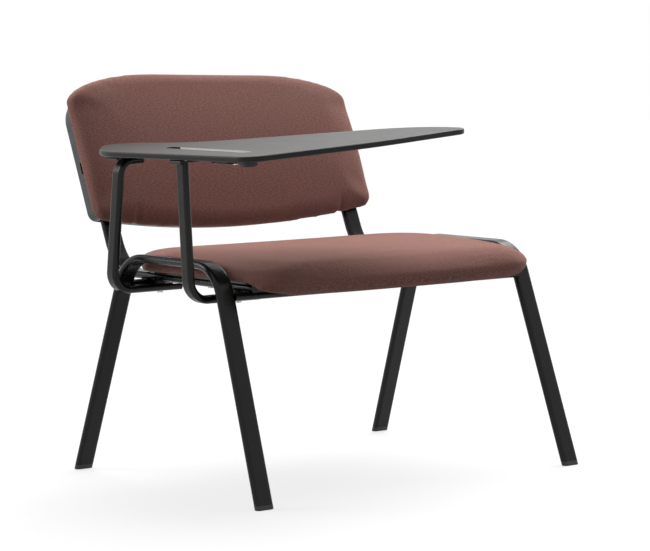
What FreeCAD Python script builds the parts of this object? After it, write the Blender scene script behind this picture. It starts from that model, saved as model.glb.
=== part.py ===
import FreeCAD, Part
import math
import os

import Sketcher

# Tablet arm chair, in millimetres. The chair stands on the floor at z = 0 with its centre
# between the feet, faces -Y, and carries its writing tablet on the -X side (the sitter's right).

SIZES = {
    # Flat-oval tube of the side frames, seat rails and uprights
    "tube_width": 40.0,
    "tube_depth": 15.0,
    "tube_wall": 1.5,
    # Flat-oval tube of the cross tubes and the tablet's posts
    "slim_width": 30.0,
    "slim_depth": 15.0,
    # Side frames: upturned U, leaning legs, splayed outwards to the floor
    "foot_track_half": 390.0,
    "foot_spread_half": 303.0,
    "frame_height": 448.0,
    "leg_lean_angle": 19.27,
    "frame_splay_angle": 2.03,
    "frame_bend": 78.5,
    "weld_gap": 0.45,
    "weld_reach": 5.0,
    # Plastic plugs
    "foot_cap_height": 9.0,
    "foot_cap_round": 1.5,
    "foot_bore_margin": 30.0,
    "plug_flange": 2.5,
    "plug_stem": 18.0,
    "plug_fit": 0.2,
    "post_plug_fit": 1.1,
    # Seat rails that turn up into the back uprights
    "rail_inset": 38.0,
    "rail_front_inset": 72.0,
    "rail_root_gap": 74.5,
    "rail_bend": 95.0,
    "back_lean_angle": 23.0,
    "upright_rise": 220.0,
    # Seat board
    "seat_board_drop": 42.0,
    "seat_board_thickness": 12.0,
    "seat_board_inset": 16.0,
    "seat_board_rear_inset": 19.0,
    "seat_board_bend_inset": 66.0,
    "seat_board_bend": 60.0,
    "seat_board_bend_angle": 36.0,
    "seat_board_front_inset": 34.0,
    "seat_board_corner": 55.0,
    # Seat cushion
    "seat_side_gap": 4.12,
    "seat_rear_inset": 106.0,
    "seat_front_inset": 41.0,
    "seat_corner": 72.0,
    "seat_crown_rise": 60.0,
    "seat_crown_fall": 5.0,
    "seat_shoulder_rise": 46.0,
    "seat_nose_drop": 17.0,
    "seat_draw_in": 13.0,
    "seat_roll": 40.0,
    "seat_side_fall": 12.0,
    "seat_side_lift": 6.0,
    "cover_gap": 0.3,
    # Back pad: outline in the leaning plane of the back
    "back_step": 26.5,
    "back_rise": 89.0,
    "back_overhang": 4.5,
    "back_top": 313.0,
    "back_corner": 225.0,
    "back_shoulder": 65.0,
    "back_low_corner": 20.0,
    "back_low_edge": 11.8,
    "back_dip": 19.5,
    "back_dip_point": 36.5,
    "back_dip_margin": 95.629,
    "back_thickness": 41.0,
    "back_edge_thickness": 27.0,
    "back_rim": 1.0,
    "back_roll": 24.0,
    "back_draw_in": 7.0,
    "back_board_inset": 18.0,
    "back_board_thickness": 10.0,
    # Back shell
    "shell_inset": 2.0,
    "shell_wall": 3.0,
    "shell_depth": 27.0,
    "shell_round": 6.0,
    "shell_notch_clear": 2.0,
    "shell_notch_height": 16.0,
    "clip_length": 24.0,
    "clip_depth": 8.0,
    "clip_height": 122.0,
    "boss_radius": 6.0,
    "boss_x": 180.0,
    "boss_low": 50.0,
    "boss_high": 240.0,
    # Bolts, inserts and screws
    "bolt_radius": 3.0,
    "bolt_head_radius": 6.0,
    "bolt_head_height": 3.5,
    "bolt_clear": 0.3,
    "insert_radius": 4.5,
    "insert_length": 9.0,
    "insert_fit": 0.05,
    "seat_bolt_front": 35.0,
    "seat_bolt_rear": 85.0,
    "back_bolt_low": 60.0,
    "back_bolt_high": 185.0,
    "screw_radius": 1.9,
    "screw_head_radius": 4.2,
    "screw_head_height": 2.2,
    "screw_fit": 0.05,
    "screw_bite": 7.0,
    "screw_end_gap": 1.0,
    # Tablet posts
    "post_out": 37.0,
    "post_drop": 6.5,
    "post_rear_gap": 2.3,
    "post_front_gap": 15.8,
    "post_rear_lean_angle": 7.0,
    "post_front_lean_angle": 4.0,
    "post_foot_length": 157.0,
    "post_low_bend": 38.0,
    "post_top_bend": 24.5,
    "post_top_length": 46.0,
    "spacer_radius": 10.0,
    # Tablet hinge: its frame has the hinge line as Y and the tablet's underside as its XY plane
    "hinge_out": 14.0,
    "tablet_rise": 194.4,
    "tablet_tilt_angle": 4.0,
    "pin_drop": 4.8,
    "pin_radius": 2.4,
    "pin_fit": 0.06,
    "pin_head_radius": 3.6,
    "pin_head_height": 1.5,
    "eye_radius": 4.2,
    "plate_thickness": 3.0,
    "plate_length": 89.0,
    "plate_width": 34.0,
    "leaf_thickness": 2.0,
    "leaf_length": 46.0,
    "leaf_width": 30.0,
    "leaf_eye_width": 12.0,
    "eye_gap": 0.4,
    "eye_reach": 8.0,
    "leaf_screw_near": 14.0,
    "leaf_screw_far": 38.0,
    "leaf_screw_side": 9.0,
    "leaf_screw_head": 1.0,
    "rest_radius": 8.0,
    "rest_inset": 16.0,
    "rest_gap": 0.2,
    # Tablet
    "tablet_thickness": 11.0,
    "tablet_edge_round": 3.0,
    "slot_width": 22.0,
    "slot_length": 258.0,
    "slot_depth": 8.0,
    "slot_x": 76.5,
    "slot_y": -102.0,
    # Plate and buffer under the tablet's front
    "stay_length": 74.0,
    "stay_width": 30.0,
    "stay_thickness": 6.0,
    "stay_x": 38.0,
    "stay_y": -210.0,
    "stay_screw_reach": 29.0,
    "buffer_radius": 16.0,
    "buffer_height": 10.0,
    "buffer_round": 3.0,
    "buffer_y": -281.0,
}

# Corners of the tablet's outline and the radius that rounds each, in the hinge's frame:
# along the tablet from the hinge line, then forward (-Y) or back (+Y).
TABLET_CORNERS = {
    "outer_rear": (-24.0, 124.0, 120.0),
    "rear_tip": (87.0, 263.0, 40.0),
    "elbow": (167.0, 54.0, 200.0),
    "inner_front": (559.0, -161.0, 170.0),
    "front_tip": (559.0, -307.0, 36.0),
    "front_middle": (290.0, -336.0, 900.0),
    "front_outer": (12.5, -317.0, 40.0),
}

# How the back cushion thins towards its sides, as shares of its thickness.
SIDE_SHARE = 0.3
CROWN_FALL = 0.35
CORNER_FALL = 0.5
# Where the two arcs of the back's wide upper corners turn, as shares of the corner's width and drop.
CORNER_TURN = 0.65
CORNER_DROP = 0.69
# Where the cushions' profiles stand: as shares of the flat part, then as angles round a corner.
FLAT_STATIONS = (0.0, 0.35, 0.65, 0.85, 1.0)
CORNER_STATIONS = (15, 30, 45, 60, 70, 78, 84, 90)
# Points closer than this are one point.
TOUCH = 1e-6

doc = FreeCAD.newDocument("tablet_arm_chair")
sheet = doc.addObject("Spreadsheet::Sheet", "Sizes")


def fill_sheet():
    """Write each driving size into the sheet under its own name."""
    values = dict(SIZES)
    for corner, (along, across, radius) in TABLET_CORNERS.items():
        values["tablet_" + corner + "_x"] = along
        values["tablet_" + corner + "_y"] = across
        values["tablet_" + corner + "_radius"] = radius
    for row, (name, value) in enumerate(values.items(), start=1):
        sheet.set("A%d" % row, name)
        sheet.set("B%d" % row, str(value))
        sheet.setAlias("B%d" % row, name)
    doc.recompute()


def size(name):
    """Read one size from the sheet."""
    return float(sheet.get(name))


def worth(text):
    """Work out an expression of sizes; sizes are written as <name>."""
    return float(sheet.evalExpression(named(text)))


def named(text):
    """Turn <name> into the sheet's cell of that name."""
    return text.replace("<", "Sizes.").replace(">", "")


def bind(thing, prop, text):
    """Bind a property to an expression of sizes."""
    thing.setExpression(prop, named(text))


def new_body(label):
    """Start the body of one sub-part."""
    body = doc.addObject("PartDesign::Body", label)
    body.Label = label
    return body


def place(thing, x="0", y="0", z="0", axis=None, turn="0"):
    """Put a sub-part in the chair's frame, turned about one axis."""
    rotation = FreeCAD.Rotation()
    if axis:
        rotation = FreeCAD.Rotation(FreeCAD.Vector(*axis), worth(turn))
    thing.Placement = FreeCAD.Placement(FreeCAD.Vector(worth(x), worth(y), worth(z)), rotation)
    bind(thing, "Placement.Base.x", x)
    bind(thing, "Placement.Base.y", y)
    bind(thing, "Placement.Base.z", z)
    if axis:
        bind(thing, "Placement.Rotation.Angle", turn)


def new_sketch(body, name, role, lift="0", lean=None, rise="0"):
    """Attach a sketch to an origin plane of its body, lifted off it, raised in it and leaned."""
    sketch = body.newObject("Sketcher::SketchObject", body.Label + "_" + name)
    origin_plane = next(part for part in body.Origin.OriginFeatures if part.Role == role)
    sketch.AttachmentSupport = [(origin_plane, "")]
    sketch.MapMode = "FlatFace"
    rotation = FreeCAD.Rotation()
    if lean:
        rotation = FreeCAD.Rotation(FreeCAD.Vector(1, 0, 0), worth(lean))
    sketch.AttachmentOffset = FreeCAD.Placement(FreeCAD.Vector(0, worth(rise), worth(lift)), rotation)
    bind(sketch, "AttachmentOffset.Base.y", rise)
    bind(sketch, "AttachmentOffset.Base.z", lift)
    if lean:
        bind(sketch, "AttachmentOffset.Rotation.Angle", lean)
    return sketch


def set_datum(sketch, kind, *places_and_text):
    """Add a dimension to a sketch and bind it to an expression."""
    *places, text = places_and_text
    index = sketch.addConstraint(Sketcher.Constraint(kind, *places, worth(text)))
    bind(sketch, "Constraints[%d]" % index, text)


def set_point(sketch, item, end, x, y):
    """Fix a point of a sketch by its distances from the sketch's origin."""
    set_datum(sketch, "DistanceX", -1, 1, item, end, x)
    set_datum(sketch, "DistanceY", -1, 1, item, end, y)


def draw_oval(sketch, width, depth, x="0", y="0", tall=False):
    """Draw a flat oval, two straight sides joined by half circles, lying or standing."""
    reach = "(%s - (%s)) / 2" % (width, depth)
    radius = worth(depth) / 2
    across = ("%s + %s" % (x, reach), y) if not tall else (x, "%s + %s" % (y, reach))
    back = ("%s - %s" % (x, reach), y) if not tall else (x, "%s - %s" % (y, reach))
    far = FreeCAD.Vector(worth(across[0]), worth(across[1]), 0)
    near = FreeCAD.Vector(worth(back[0]), worth(back[1]), 0)
    up = FreeCAD.Vector(0, 0, 1)
    side = up.cross(far - near).normalize() * radius
    turn = math.atan2(-side.y, -side.x)
    far_arc = Part.ArcOfCircle(Part.Circle(far, up, radius), turn, turn + math.pi)
    near_arc = Part.ArcOfCircle(Part.Circle(near, up, radius), turn + math.pi, turn + 2 * math.pi)
    arcs = [sketch.addGeometry(far_arc), sketch.addGeometry(near_arc)]
    sides = [sketch.addGeometry(Part.LineSegment(far + side, near + side)),
             sketch.addGeometry(Part.LineSegment(near - side, far - side))]
    for first, second in ((arcs[0], sides[0]), (sides[0], arcs[1]), (arcs[1], sides[1]), (sides[1], arcs[0])):
        sketch.addConstraint(Sketcher.Constraint("Tangent", first, 2, second, 1))
    sketch.addConstraint(Sketcher.Constraint("Equal", *arcs))
    set_datum(sketch, "Radius", arcs[0], "(%s) / 2" % depth)
    set_point(sketch, arcs[0], 3, *across)
    set_point(sketch, arcs[1], 3, *back)


def draw_circle(sketch, radius, x="0", y="0"):
    """Draw a circle about a fixed centre."""
    centre = FreeCAD.Vector(worth(x), worth(y), 0)
    circle = sketch.addGeometry(Part.Circle(centre, FreeCAD.Vector(0, 0, 1), worth(radius)))
    set_datum(sketch, "Radius", circle, radius)
    set_point(sketch, circle, 3, x, y)


def draw_route(sketch, corners, closed=True):
    """Draw straight runs through corners (x, y, radius), rounding each corner that has a radius."""
    points = [FreeCAD.Vector(worth(x), worth(y), 0) for x, y, radius in corners]
    radii = [worth(radius) if radius else 0.0 for x, y, radius in corners]
    count = len(points)
    runs = count if closed else count - 1
    starts = list(points)
    stops = list(points)
    arcs = {}
    for index in range(count):
        if not radii[index]:
            continue
        before = (points[index - 1] - points[index]).normalize()
        after = (points[(index + 1) % count] - points[index]).normalize()
        half = before.getAngle(after) / 2
        stops[index] = points[index] + before * (radii[index] / math.tan(half))
        starts[index] = points[index] + after * (radii[index] / math.tan(half))
        middle = (before + after).normalize()
        inner = points[index] + middle * (radii[index] / math.sin(half) - radii[index])
        arcs[index] = Part.Arc(stops[index], inner, starts[index])
    lines = []
    for index in range(runs):
        lines.append(sketch.addGeometry(Part.LineSegment(starts[index], stops[(index + 1) % count])))
    marks = []
    for index, (x, y, radius) in enumerate(corners):
        mark = sketch.addGeometry(Part.Point(points[index]), True)
        set_point(sketch, mark, 1, x, y)
        marks.append(mark)
    for index in range(count):
        before = lines[index - 1] if closed or index > 0 else None
        after = lines[index] if index < runs else None
        if index in arcs:
            arc = sketch.addGeometry(arcs[index])
            start = stops[index]
            first_end = 1 if sketch.getPoint(arc, 1).distanceToPoint(start) < TOUCH else 2
            sketch.addConstraint(Sketcher.Constraint("PointOnObject", marks[index], 1, before))
            sketch.addConstraint(Sketcher.Constraint("PointOnObject", marks[index], 1, after))
            sketch.addConstraint(Sketcher.Constraint("Tangent", before, 2, arc, first_end))
            sketch.addConstraint(Sketcher.Constraint("Tangent", after, 1, arc, 3 - first_end))
            set_datum(sketch, "Radius", arc, corners[index][2])
            continue
        for line, end in ((before, 2), (after, 1)):
            if line is not None:
                sketch.addConstraint(Sketcher.Constraint("Coincident", line, end, marks[index], 1))


def pad(body, sketch, length, midplane=False, reverse=False):
    """Pad a sketch by a length."""
    feature = body.newObject("PartDesign::Pad", sketch.Label + "_pad")
    feature.Profile = sketch
    feature.Midplane = midplane
    feature.Reversed = reverse
    bind(feature, "Length", length)
    sketch.Visibility = False
    return feature


def cut_through(body, sketch):
    """Cut a sketch through the whole body, both ways, square to its plane."""
    feature = body.newObject("PartDesign::Pocket", sketch.Label + "_cut")
    feature.Profile = sketch
    feature.Type = "ThroughAll"
    feature.Midplane = True
    sketch.Visibility = False
    return feature


def cut_slanting(body, sketch, direction):
    """Cut a sketch that lies below the body up through all of it, along a slanting direction."""
    feature = body.newObject("PartDesign::Pocket", sketch.Label + "_cut")
    feature.Profile = sketch
    feature.Type = "ThroughAll"
    feature.UseCustomVector = True
    feature.Direction = direction
    sketch.Visibility = False
    return feature


def cut_depth(body, sketch, depth, reverse=False):
    """Cut a sketch into the body to a depth."""
    feature = body.newObject("PartDesign::Pocket", sketch.Label + "_cut")
    feature.Profile = sketch
    feature.Reversed = reverse
    bind(feature, "Length", depth)
    sketch.Visibility = False
    return feature


def pipe(body, profile, route):
    """Sweep a profile along a route."""
    feature = body.newObject("PartDesign::AdditivePipe", body.Label + "_pipe")
    feature.Profile = profile
    feature.Spine = (route, [])
    profile.Visibility = False
    route.Visibility = False
    return feature


def tube_profile(body, role, width, depth, lift="0", y="0"):
    """Sketch the ring section of a flat-oval tube."""
    sketch = new_sketch(body, "section", role, lift)
    draw_oval(sketch, width, depth, "0", y)
    draw_oval(sketch, "%s - 2 * <tube_wall>" % width, "%s - 2 * <tube_wall>" % depth, "0", y)
    return sketch


def drill(body, name, role, radius, centres):
    """Drill round holes through a body, square to one of its planes."""
    sketch = new_sketch(body, name, role)
    for x, y in centres:
        draw_circle(sketch, radius, x, y)
    return cut_through(body, sketch)


# Heights and places that several pieces share, as expressions of the sizes.
SPLAY = "(<frame_splay_angle> * 1deg)"
LEAN = "(<leg_lean_angle> * 1deg)"
TILT = "(<tablet_tilt_angle> * 1deg)"
BACK = "(<back_lean_angle> * 1deg)"
BAR_Z = "(<frame_height> - <tube_depth> / 2)"
SEAT_UNDER = "(<frame_height> - <seat_board_drop>)"
SEAT_HALF = "(<foot_track_half> - <frame_height> * tan(%s) - <tube_width> / 2 - <seat_side_gap>)" % SPLAY
SEAT_FRONT = "(<foot_spread_half> - <seat_front_inset>)"
SEAT_REAR = "(<foot_spread_half> - <seat_rear_inset>)"
SEAT_BEND = "(%s - <seat_board_bend_inset>)" % SEAT_FRONT
BOARD_HALF = "(%s - <seat_board_inset>)" % SEAT_HALF
BOARD_FRONT = "(%s - <seat_board_front_inset>)" % SEAT_FRONT
BOARD_REAR = "(%s - <seat_board_rear_inset>)" % SEAT_REAR
RAIL_X = "(%s - <rail_inset>)" % SEAT_HALF
RAIL_Z = "(%s - <tube_depth> / 2)" % SEAT_UNDER
RAIL_UNDER = "(%s - <tube_depth>)" % SEAT_UNDER
RAIL_FRONT = "(%s - <rail_front_inset>)" % SEAT_FRONT
RAIL_ROOT = "(%s + <rail_root_gap>)" % SEAT_REAR
CROSS_Z = "(%s - <slim_depth> / 2)" % RAIL_UNDER
CROSS_Y = "(<foot_spread_half> - %s / cos(%s) * tan(%s))" % (CROSS_Z, SPLAY, LEAN)
CROSS_X = "(<foot_track_half> - %s * tan(%s))" % (CROSS_Z, SPLAY)
BACK_HALF = "(%s + <back_overhang>)" % SEAT_HALF
BACK_Y = "(%s + <back_step>)" % RAIL_ROOT
BACK_Z = "(%s + <back_rise>)" % SEAT_UNDER
UPRIGHT_TOP = "(%s + <upright_rise>)" % BACK_Z
UPRIGHT_BACK = "((%s + (%s - %s) * tan(%s) - %s) * cos(%s))" % (RAIL_ROOT, BACK_Z, RAIL_Z, BACK, BACK_Y, BACK)
BOARD_BACK = "(%s - <tube_depth> / 2)" % UPRIGHT_BACK
POST_X = "(<foot_track_half> + <post_out>)"
POST_REAR_Y = "(%s - <slim_width> - <post_rear_gap>)" % CROSS_Y
POST_FRONT_Y = "(%s - <slim_width> - <post_front_gap>)" % CROSS_Y
HINGE_X = "(%s + <hinge_out>)" % POST_X
TABLET_UNDER = "(<frame_height> + <tablet_rise>)"
PLATE_UNDER = "(<pin_drop> + <plate_thickness> / 2)"
POST_Z = "(%s - <post_drop>)" % CROSS_Z
BOLT_HOLE = "<bolt_radius> + <bolt_clear>"


def post_top(drop):
    """Height above a post's foot of the plane that lies a drop below the tablet, at the post."""
    return "(%s + <hinge_out> * tan(%s) - (%s) / cos(%s) - %s)" % (TABLET_UNDER, TILT, drop, TILT, POST_Z)


TUBE_TOP = post_top("%s + <slim_depth> / 2" % PLATE_UNDER)
PLATE_TOP = post_top(PLATE_UNDER)
REAR_PLATE_Y = "(%s - %s * tan(<post_rear_lean_angle> * 1deg))" % (POST_REAR_Y, TUBE_TOP)
FRONT_PLATE_Y = "(%s * tan(<post_front_lean_angle> * 1deg) - %s)" % (PLATE_TOP, POST_FRONT_Y)

# Places of the fasteners, each in the plane that it goes through.
INSERT_HOLE = "<insert_radius> + <insert_fit>"
BOLT_BORE = "<bolt_radius> + <insert_fit>"
SCREW_HOLE = "<screw_radius> + <screw_fit>"
BACK_BOLTS = ["<back_bolt_low>", "<back_bolt_high>"]
SHELL_SCREWS = [(side + "<boss_x>", rise) for side in ("-", "") for rise in ("<boss_low>", "<boss_high>")]
LEAF_SCREWS = [(along, side + "<leaf_screw_side>")
               for along in ("<leaf_screw_near>", "<leaf_screw_far>") for side in ("-", "")]
STAY_SCREWS = [("<stay_x>", "<stay_y> - <stay_screw_reach>"), ("<stay_x>", "<stay_y> + <stay_screw_reach>")]


def side_frame(label, side):
    """One bent tube: half of the U is swept from the middle of the bar and mirrored."""
    body = new_body(label)
    section = tube_profile(body, "XZ_Plane", "<tube_width>", "<tube_depth>", y=BAR_Z)
    route = new_sketch(body, "route", "YZ_Plane")
    corner = "%s * tan(%s) - <foot_spread_half>" % (BAR_Z, LEAN)
    foot = "-<foot_spread_half> - <foot_bore_margin> * tan(%s)" % LEAN
    draw_route(route, [("0", BAR_Z, None), (corner, BAR_Z, "<frame_bend>"),
                       (foot, "-<foot_bore_margin>", None)], closed=False)
    half = pipe(body, section, route)
    whole = body.newObject("PartDesign::Mirrored", label + "_mirror")
    whole.Originals = [half]
    mirror_plane = next(part for part in body.Origin.OriginFeatures if part.Role == "XZ_Plane")
    whole.MirrorPlane = (mirror_plane, [""])
    body.Tip = whole
    doc.recompute()
    floor = new_sketch(body, "floor_cut", "XZ_Plane")
    level = "(<foot_cap_height> %s <tube_width> * sin(%s)) / cos(%s)"
    inner = level % ("+" if side < 0 else "-", SPLAY, SPLAY)
    outer = level % ("-" if side < 0 else "+", SPLAY, SPLAY)
    draw_route(floor, [("-<tube_width>", outer, None), ("<tube_width>", inner, None),
                       ("<tube_width>", "-4 * <foot_bore_margin>", None),
                       ("-<tube_width>", "-4 * <foot_bore_margin>", None)])
    cut_through(body, floor)
    turn = "<frame_splay_angle>" if side < 0 else "-<frame_splay_angle>"
    place(body, "%d * <foot_track_half>" % side, "0", "0", (0, 1, 0), turn)
    return body


def foot_cap(label, side, end):
    """Plastic foot: a block under the tube's end and a stem inside it, along the leg."""
    body = new_body(label)
    lean = math.tan(math.radians(size("leg_lean_angle"))) / math.cos(math.radians(size("frame_splay_angle")))
    splay = math.tan(math.radians(size("frame_splay_angle")))
    along = FreeCAD.Vector(-side * splay, -end * lean, 1)
    stretch = "/ cos(%s)" % LEAN
    block = new_sketch(body, "block", "XY_Plane")
    draw_oval(block, "<tube_width> / cos(%s)" % SPLAY, "<tube_depth> " + stretch)
    foot = pad(body, block, "<foot_cap_height>")
    foot.UseCustomVector = True
    foot.Direction = along
    foot.AlongSketchNormal = True
    rise = "<foot_cap_height>"
    stem_sketch = new_sketch(body, "stem", "XY_Plane", rise)
    inside = "2 * (<tube_wall> + <plug_fit>)"
    draw_oval(stem_sketch, "<tube_width> / cos(%s) - %s" % (SPLAY, inside),
              "(<tube_depth> - %s) %s" % (inside, stretch),
              "%d * <foot_cap_height> * tan(%s)" % (-side, SPLAY),
              "%d * <foot_cap_height> * tan(%s) / cos(%s)" % (-end, LEAN, SPLAY))
    stem = pad(body, stem_sketch, "<plug_stem>")
    stem.UseCustomVector = True
    stem.Direction = along
    stem.AlongSketchNormal = True
    doc.recompute()
    rounded = body.newObject("PartDesign::Fillet", label + "_round")
    edges = ["Edge%d" % (index + 1) for index, edge in enumerate(stem.Shape.Edges)
             if edge.BoundBox.ZMax < TOUCH]
    rounded.Base = (stem, edges)
    bind(rounded, "Radius", "<foot_cap_round>")
    place(body, "%d * <foot_track_half>" % side, "%d * <foot_spread_half>" % end)
    return body


def cross_tube(label, end):
    """Straight tube whose ends are coped to fit the legs that it is welded between."""
    body = new_body(label)
    section = tube_profile(body, "YZ_Plane", "<slim_width>", "<slim_depth>")
    pad(body, section, "2 * (%s - <tube_width> / 2 + <weld_reach>)" % CROSS_X, midplane=True)
    lean = math.tan(math.radians(size("leg_lean_angle"))) / math.cos(math.radians(size("frame_splay_angle")))
    splay = math.tan(math.radians(size("frame_splay_angle")))
    for side in (-1, 1):
        name = "right_cope" if side < 0 else "left_cope"
        drop = "<slim_depth>"
        skew = "%d * atan(sin(%s) * tan(%s))" % (side * end, SPLAY, LEAN)
        aside = "%d * (%s + %s * tan(%s))" % (side, CROSS_X, drop, SPLAY)
        forward = "%d * %s * tan(%s) / cos(%s)" % (end, drop, LEAN, SPLAY)
        cope = new_sketch(body, name, "XY_Plane", "-" + drop, rise=forward)
        cope.AttachmentOffset.Rotation = FreeCAD.Rotation(FreeCAD.Vector(0, 0, 1), worth(skew))
        bind(cope, "AttachmentOffset.Base.x", aside)
        bind(cope, "AttachmentOffset.Rotation.Angle", skew)
        draw_oval(cope, "<tube_width> / cos(%s) + 2 * <weld_gap>" % SPLAY,
                  "<tube_depth> / cos(%s) + 2 * <weld_gap>" % LEAN)
        cut_slanting(body, cope, FreeCAD.Vector(-side * splay, -end * lean, 1))
    place(body, "0", "%d * %s" % (end, CROSS_Y), CROSS_Z)
    return body


def rail_bolts(side):
    """Places along a rail of the bolts that go up through it; the right rail carries the posts too."""
    places = ["-<seat_bolt_front>", "<seat_bolt_rear>"]
    if side < 0:
        places += ["-" + POST_FRONT_Y, POST_REAR_Y]
    return places


def seat_rail(label, side):
    """Tube that runs back under the seat and turns up behind the back pad."""
    body = new_body(label)
    section = tube_profile(body, "XZ_Plane", "<tube_width>", "<tube_depth>", RAIL_FRONT, RAIL_Z)
    route = new_sketch(body, "route", "YZ_Plane")
    top = "%s + (%s - %s) * tan(%s)" % (RAIL_ROOT, UPRIGHT_TOP, RAIL_Z, BACK)
    draw_route(route, [("-" + RAIL_FRONT, RAIL_Z, None), (RAIL_ROOT, RAIL_Z, "<rail_bend>"),
                       (top, UPRIGHT_TOP, None)], closed=False)
    pipe(body, section, route)
    seat_holes = new_sketch(body, "seat_holes", "XY_Plane", RAIL_UNDER)
    for y in rail_bolts(side):
        draw_circle(seat_holes, BOLT_HOLE, "0", y)
    cut_depth(body, seat_holes, "<tube_depth>", reverse=True)
    back_holes = new_sketch(body, "back_holes", "XZ_Plane", "-" + BACK_Y, "-<back_lean_angle>", BACK_Z)
    for rise in BACK_BOLTS:
        draw_circle(back_holes, BOLT_HOLE, "0", rise)
    cut_through(body, back_holes)
    place(body, "%d * %s" % (side, RAIL_X))
    return body


def tube_plug(label, width, depth, fit="<plug_fit>"):
    """Plastic plug for an open tube end: a flange over the end and a stem inside, along -X."""
    body = new_body(label)
    flange = new_sketch(body, "flange", "YZ_Plane")
    draw_oval(flange, width, depth)
    pad(body, flange, "<plug_flange>")
    stem = new_sketch(body, "stem", "YZ_Plane")
    inside = "2 * (<tube_wall> + %s)" % fit
    draw_oval(stem, "%s - %s" % (width, inside), "%s - %s" % (depth, inside))
    pad(body, stem, "<plug_stem>", reverse=True)
    return body


def seat_board(label, grow="0"):
    """Plywood board with a rolled-down front, trimmed to a plan with round corners."""
    body = new_body(label)
    bend = "<seat_board_bend> - (%s)" % grow
    thick = "(<seat_board_thickness> + 2 * (%s))" % grow
    under = "%s - (%s)" % (SEAT_UNDER, grow)
    fold = "(<seat_board_bend_angle> * 1deg)"
    run = "(<seat_board_corner> + (%s))" % grow

    def bent(radius, level):
        corner = "-%s - (%s) * tan(%s / 2)" % (SEAT_BEND, radius, fold)
        tail = "((%s) * tan(%s / 2) + %s)" % (radius, fold, run)
        end_y = "%s - %s * cos(%s)" % (corner, tail, fold)
        end_z = "%s - %s * sin(%s)" % (level, tail, fold)
        return (corner, level, radius), (end_y, end_z, None)

    low_bend, low_end = bent(bend, under)
    high_bend, high_end = bent("%s + %s" % (bend, thick), "%s + %s" % (under, thick))
    rear = "%s + %s" % (BOARD_REAR, run)
    profile = new_sketch(body, "profile", "YZ_Plane")
    draw_route(profile, [(rear, under, None), low_bend, low_end, high_end, high_bend,
                         (rear, "%s + %s" % (under, thick), None)])
    pad(body, profile, "2 * (%s + %s)" % (BOARD_HALF, run), midplane=True)
    trim = new_sketch(body, "trim", "XY_Plane")
    half = "(%s + (%s))" % (BOARD_HALF, grow)
    back = "(%s + (%s))" % (BOARD_REAR, grow)
    front = "(%s + (%s))" % (BOARD_FRONT, grow)
    corner = "<seat_board_corner> + (%s)" % grow
    draw_route(trim, [("-" + half, "-" + front, corner), (half, "-" + front, corner),
                      (half, back, corner), ("-" + half, back, corner)])
    wide = "2 * (%s + %s)" % (BOARD_HALF, run)
    draw_route(trim, [("-" + wide, "-" + wide, None), (wide, "-" + wide, None),
                      (wide, wide, None), ("-" + wide, wide, None)])
    cut_through(body, trim)
    return body


def drill_seat_board(board):
    """Holes in the seat board for the threaded inserts."""
    centres = [("%d * %s" % (side, RAIL_X), y) for side in (-1, 1) for y in rail_bolts(side)]
    drill(board, "insert_holes", "XY_Plane", INSERT_HOLE, centres)


def seat_section(x):
    """Side profile of the seat cushion at one place across the chair, as a closed wire."""
    half = worth(SEAT_HALF)
    end = max(0.0, (abs(x) - half + size("seat_corner")) / size("seat_corner"))
    round_off = 1 - math.sqrt(max(0.0, 1 - end * end))
    rear = worth(SEAT_REAR) - size("seat_corner") * round_off
    front = size("seat_corner") * round_off - worth(SEAT_FRONT)
    base = worth(SEAT_UNDER)
    crown_fall = size("seat_crown_fall") * (x / half) ** 2
    fall = size("seat_side_fall") * round_off
    lift = size("seat_side_lift") * round_off
    crown = base + size("seat_crown_rise") - crown_fall - fall
    shoulder = base + size("seat_shoulder_rise") - crown_fall / 2 - fall
    under = base + size("cover_gap") + lift
    nose = base - size("seat_nose_drop") * (1 - round_off) + lift
    slim = (shoulder - under) / (size("seat_shoulder_rise") - size("cover_gap"))
    draw_in = size("seat_draw_in") * slim
    roll = size("seat_roll") * slim
    middle = (under + shoulder) / 2
    bend = max(-worth(SEAT_BEND), front + roll / 2 + draw_in)

    def point(y, z):
        return FreeCAD.Vector(x, y, z)

    low_rear = point(rear - draw_in, under)
    high_rear = point(rear - roll / 2, shoulder)
    high_front = point(front + roll, shoulder)
    low_front = point(front + roll / 2, nose)
    edges = [
        Part.Arc(low_rear, point(rear, middle), high_rear).toShape(),
        Part.Arc(high_rear, point((rear + front) / 2, crown), high_front).toShape(),
        Part.Arc(high_front, point(front, (shoulder + nose - draw_in) / 2), low_front).toShape(),
        Part.LineSegment(low_front, point(bend, under)).toShape(),
        Part.LineSegment(point(bend, under), low_rear).toShape(),
    ]
    return Part.Wire(edges)


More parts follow.
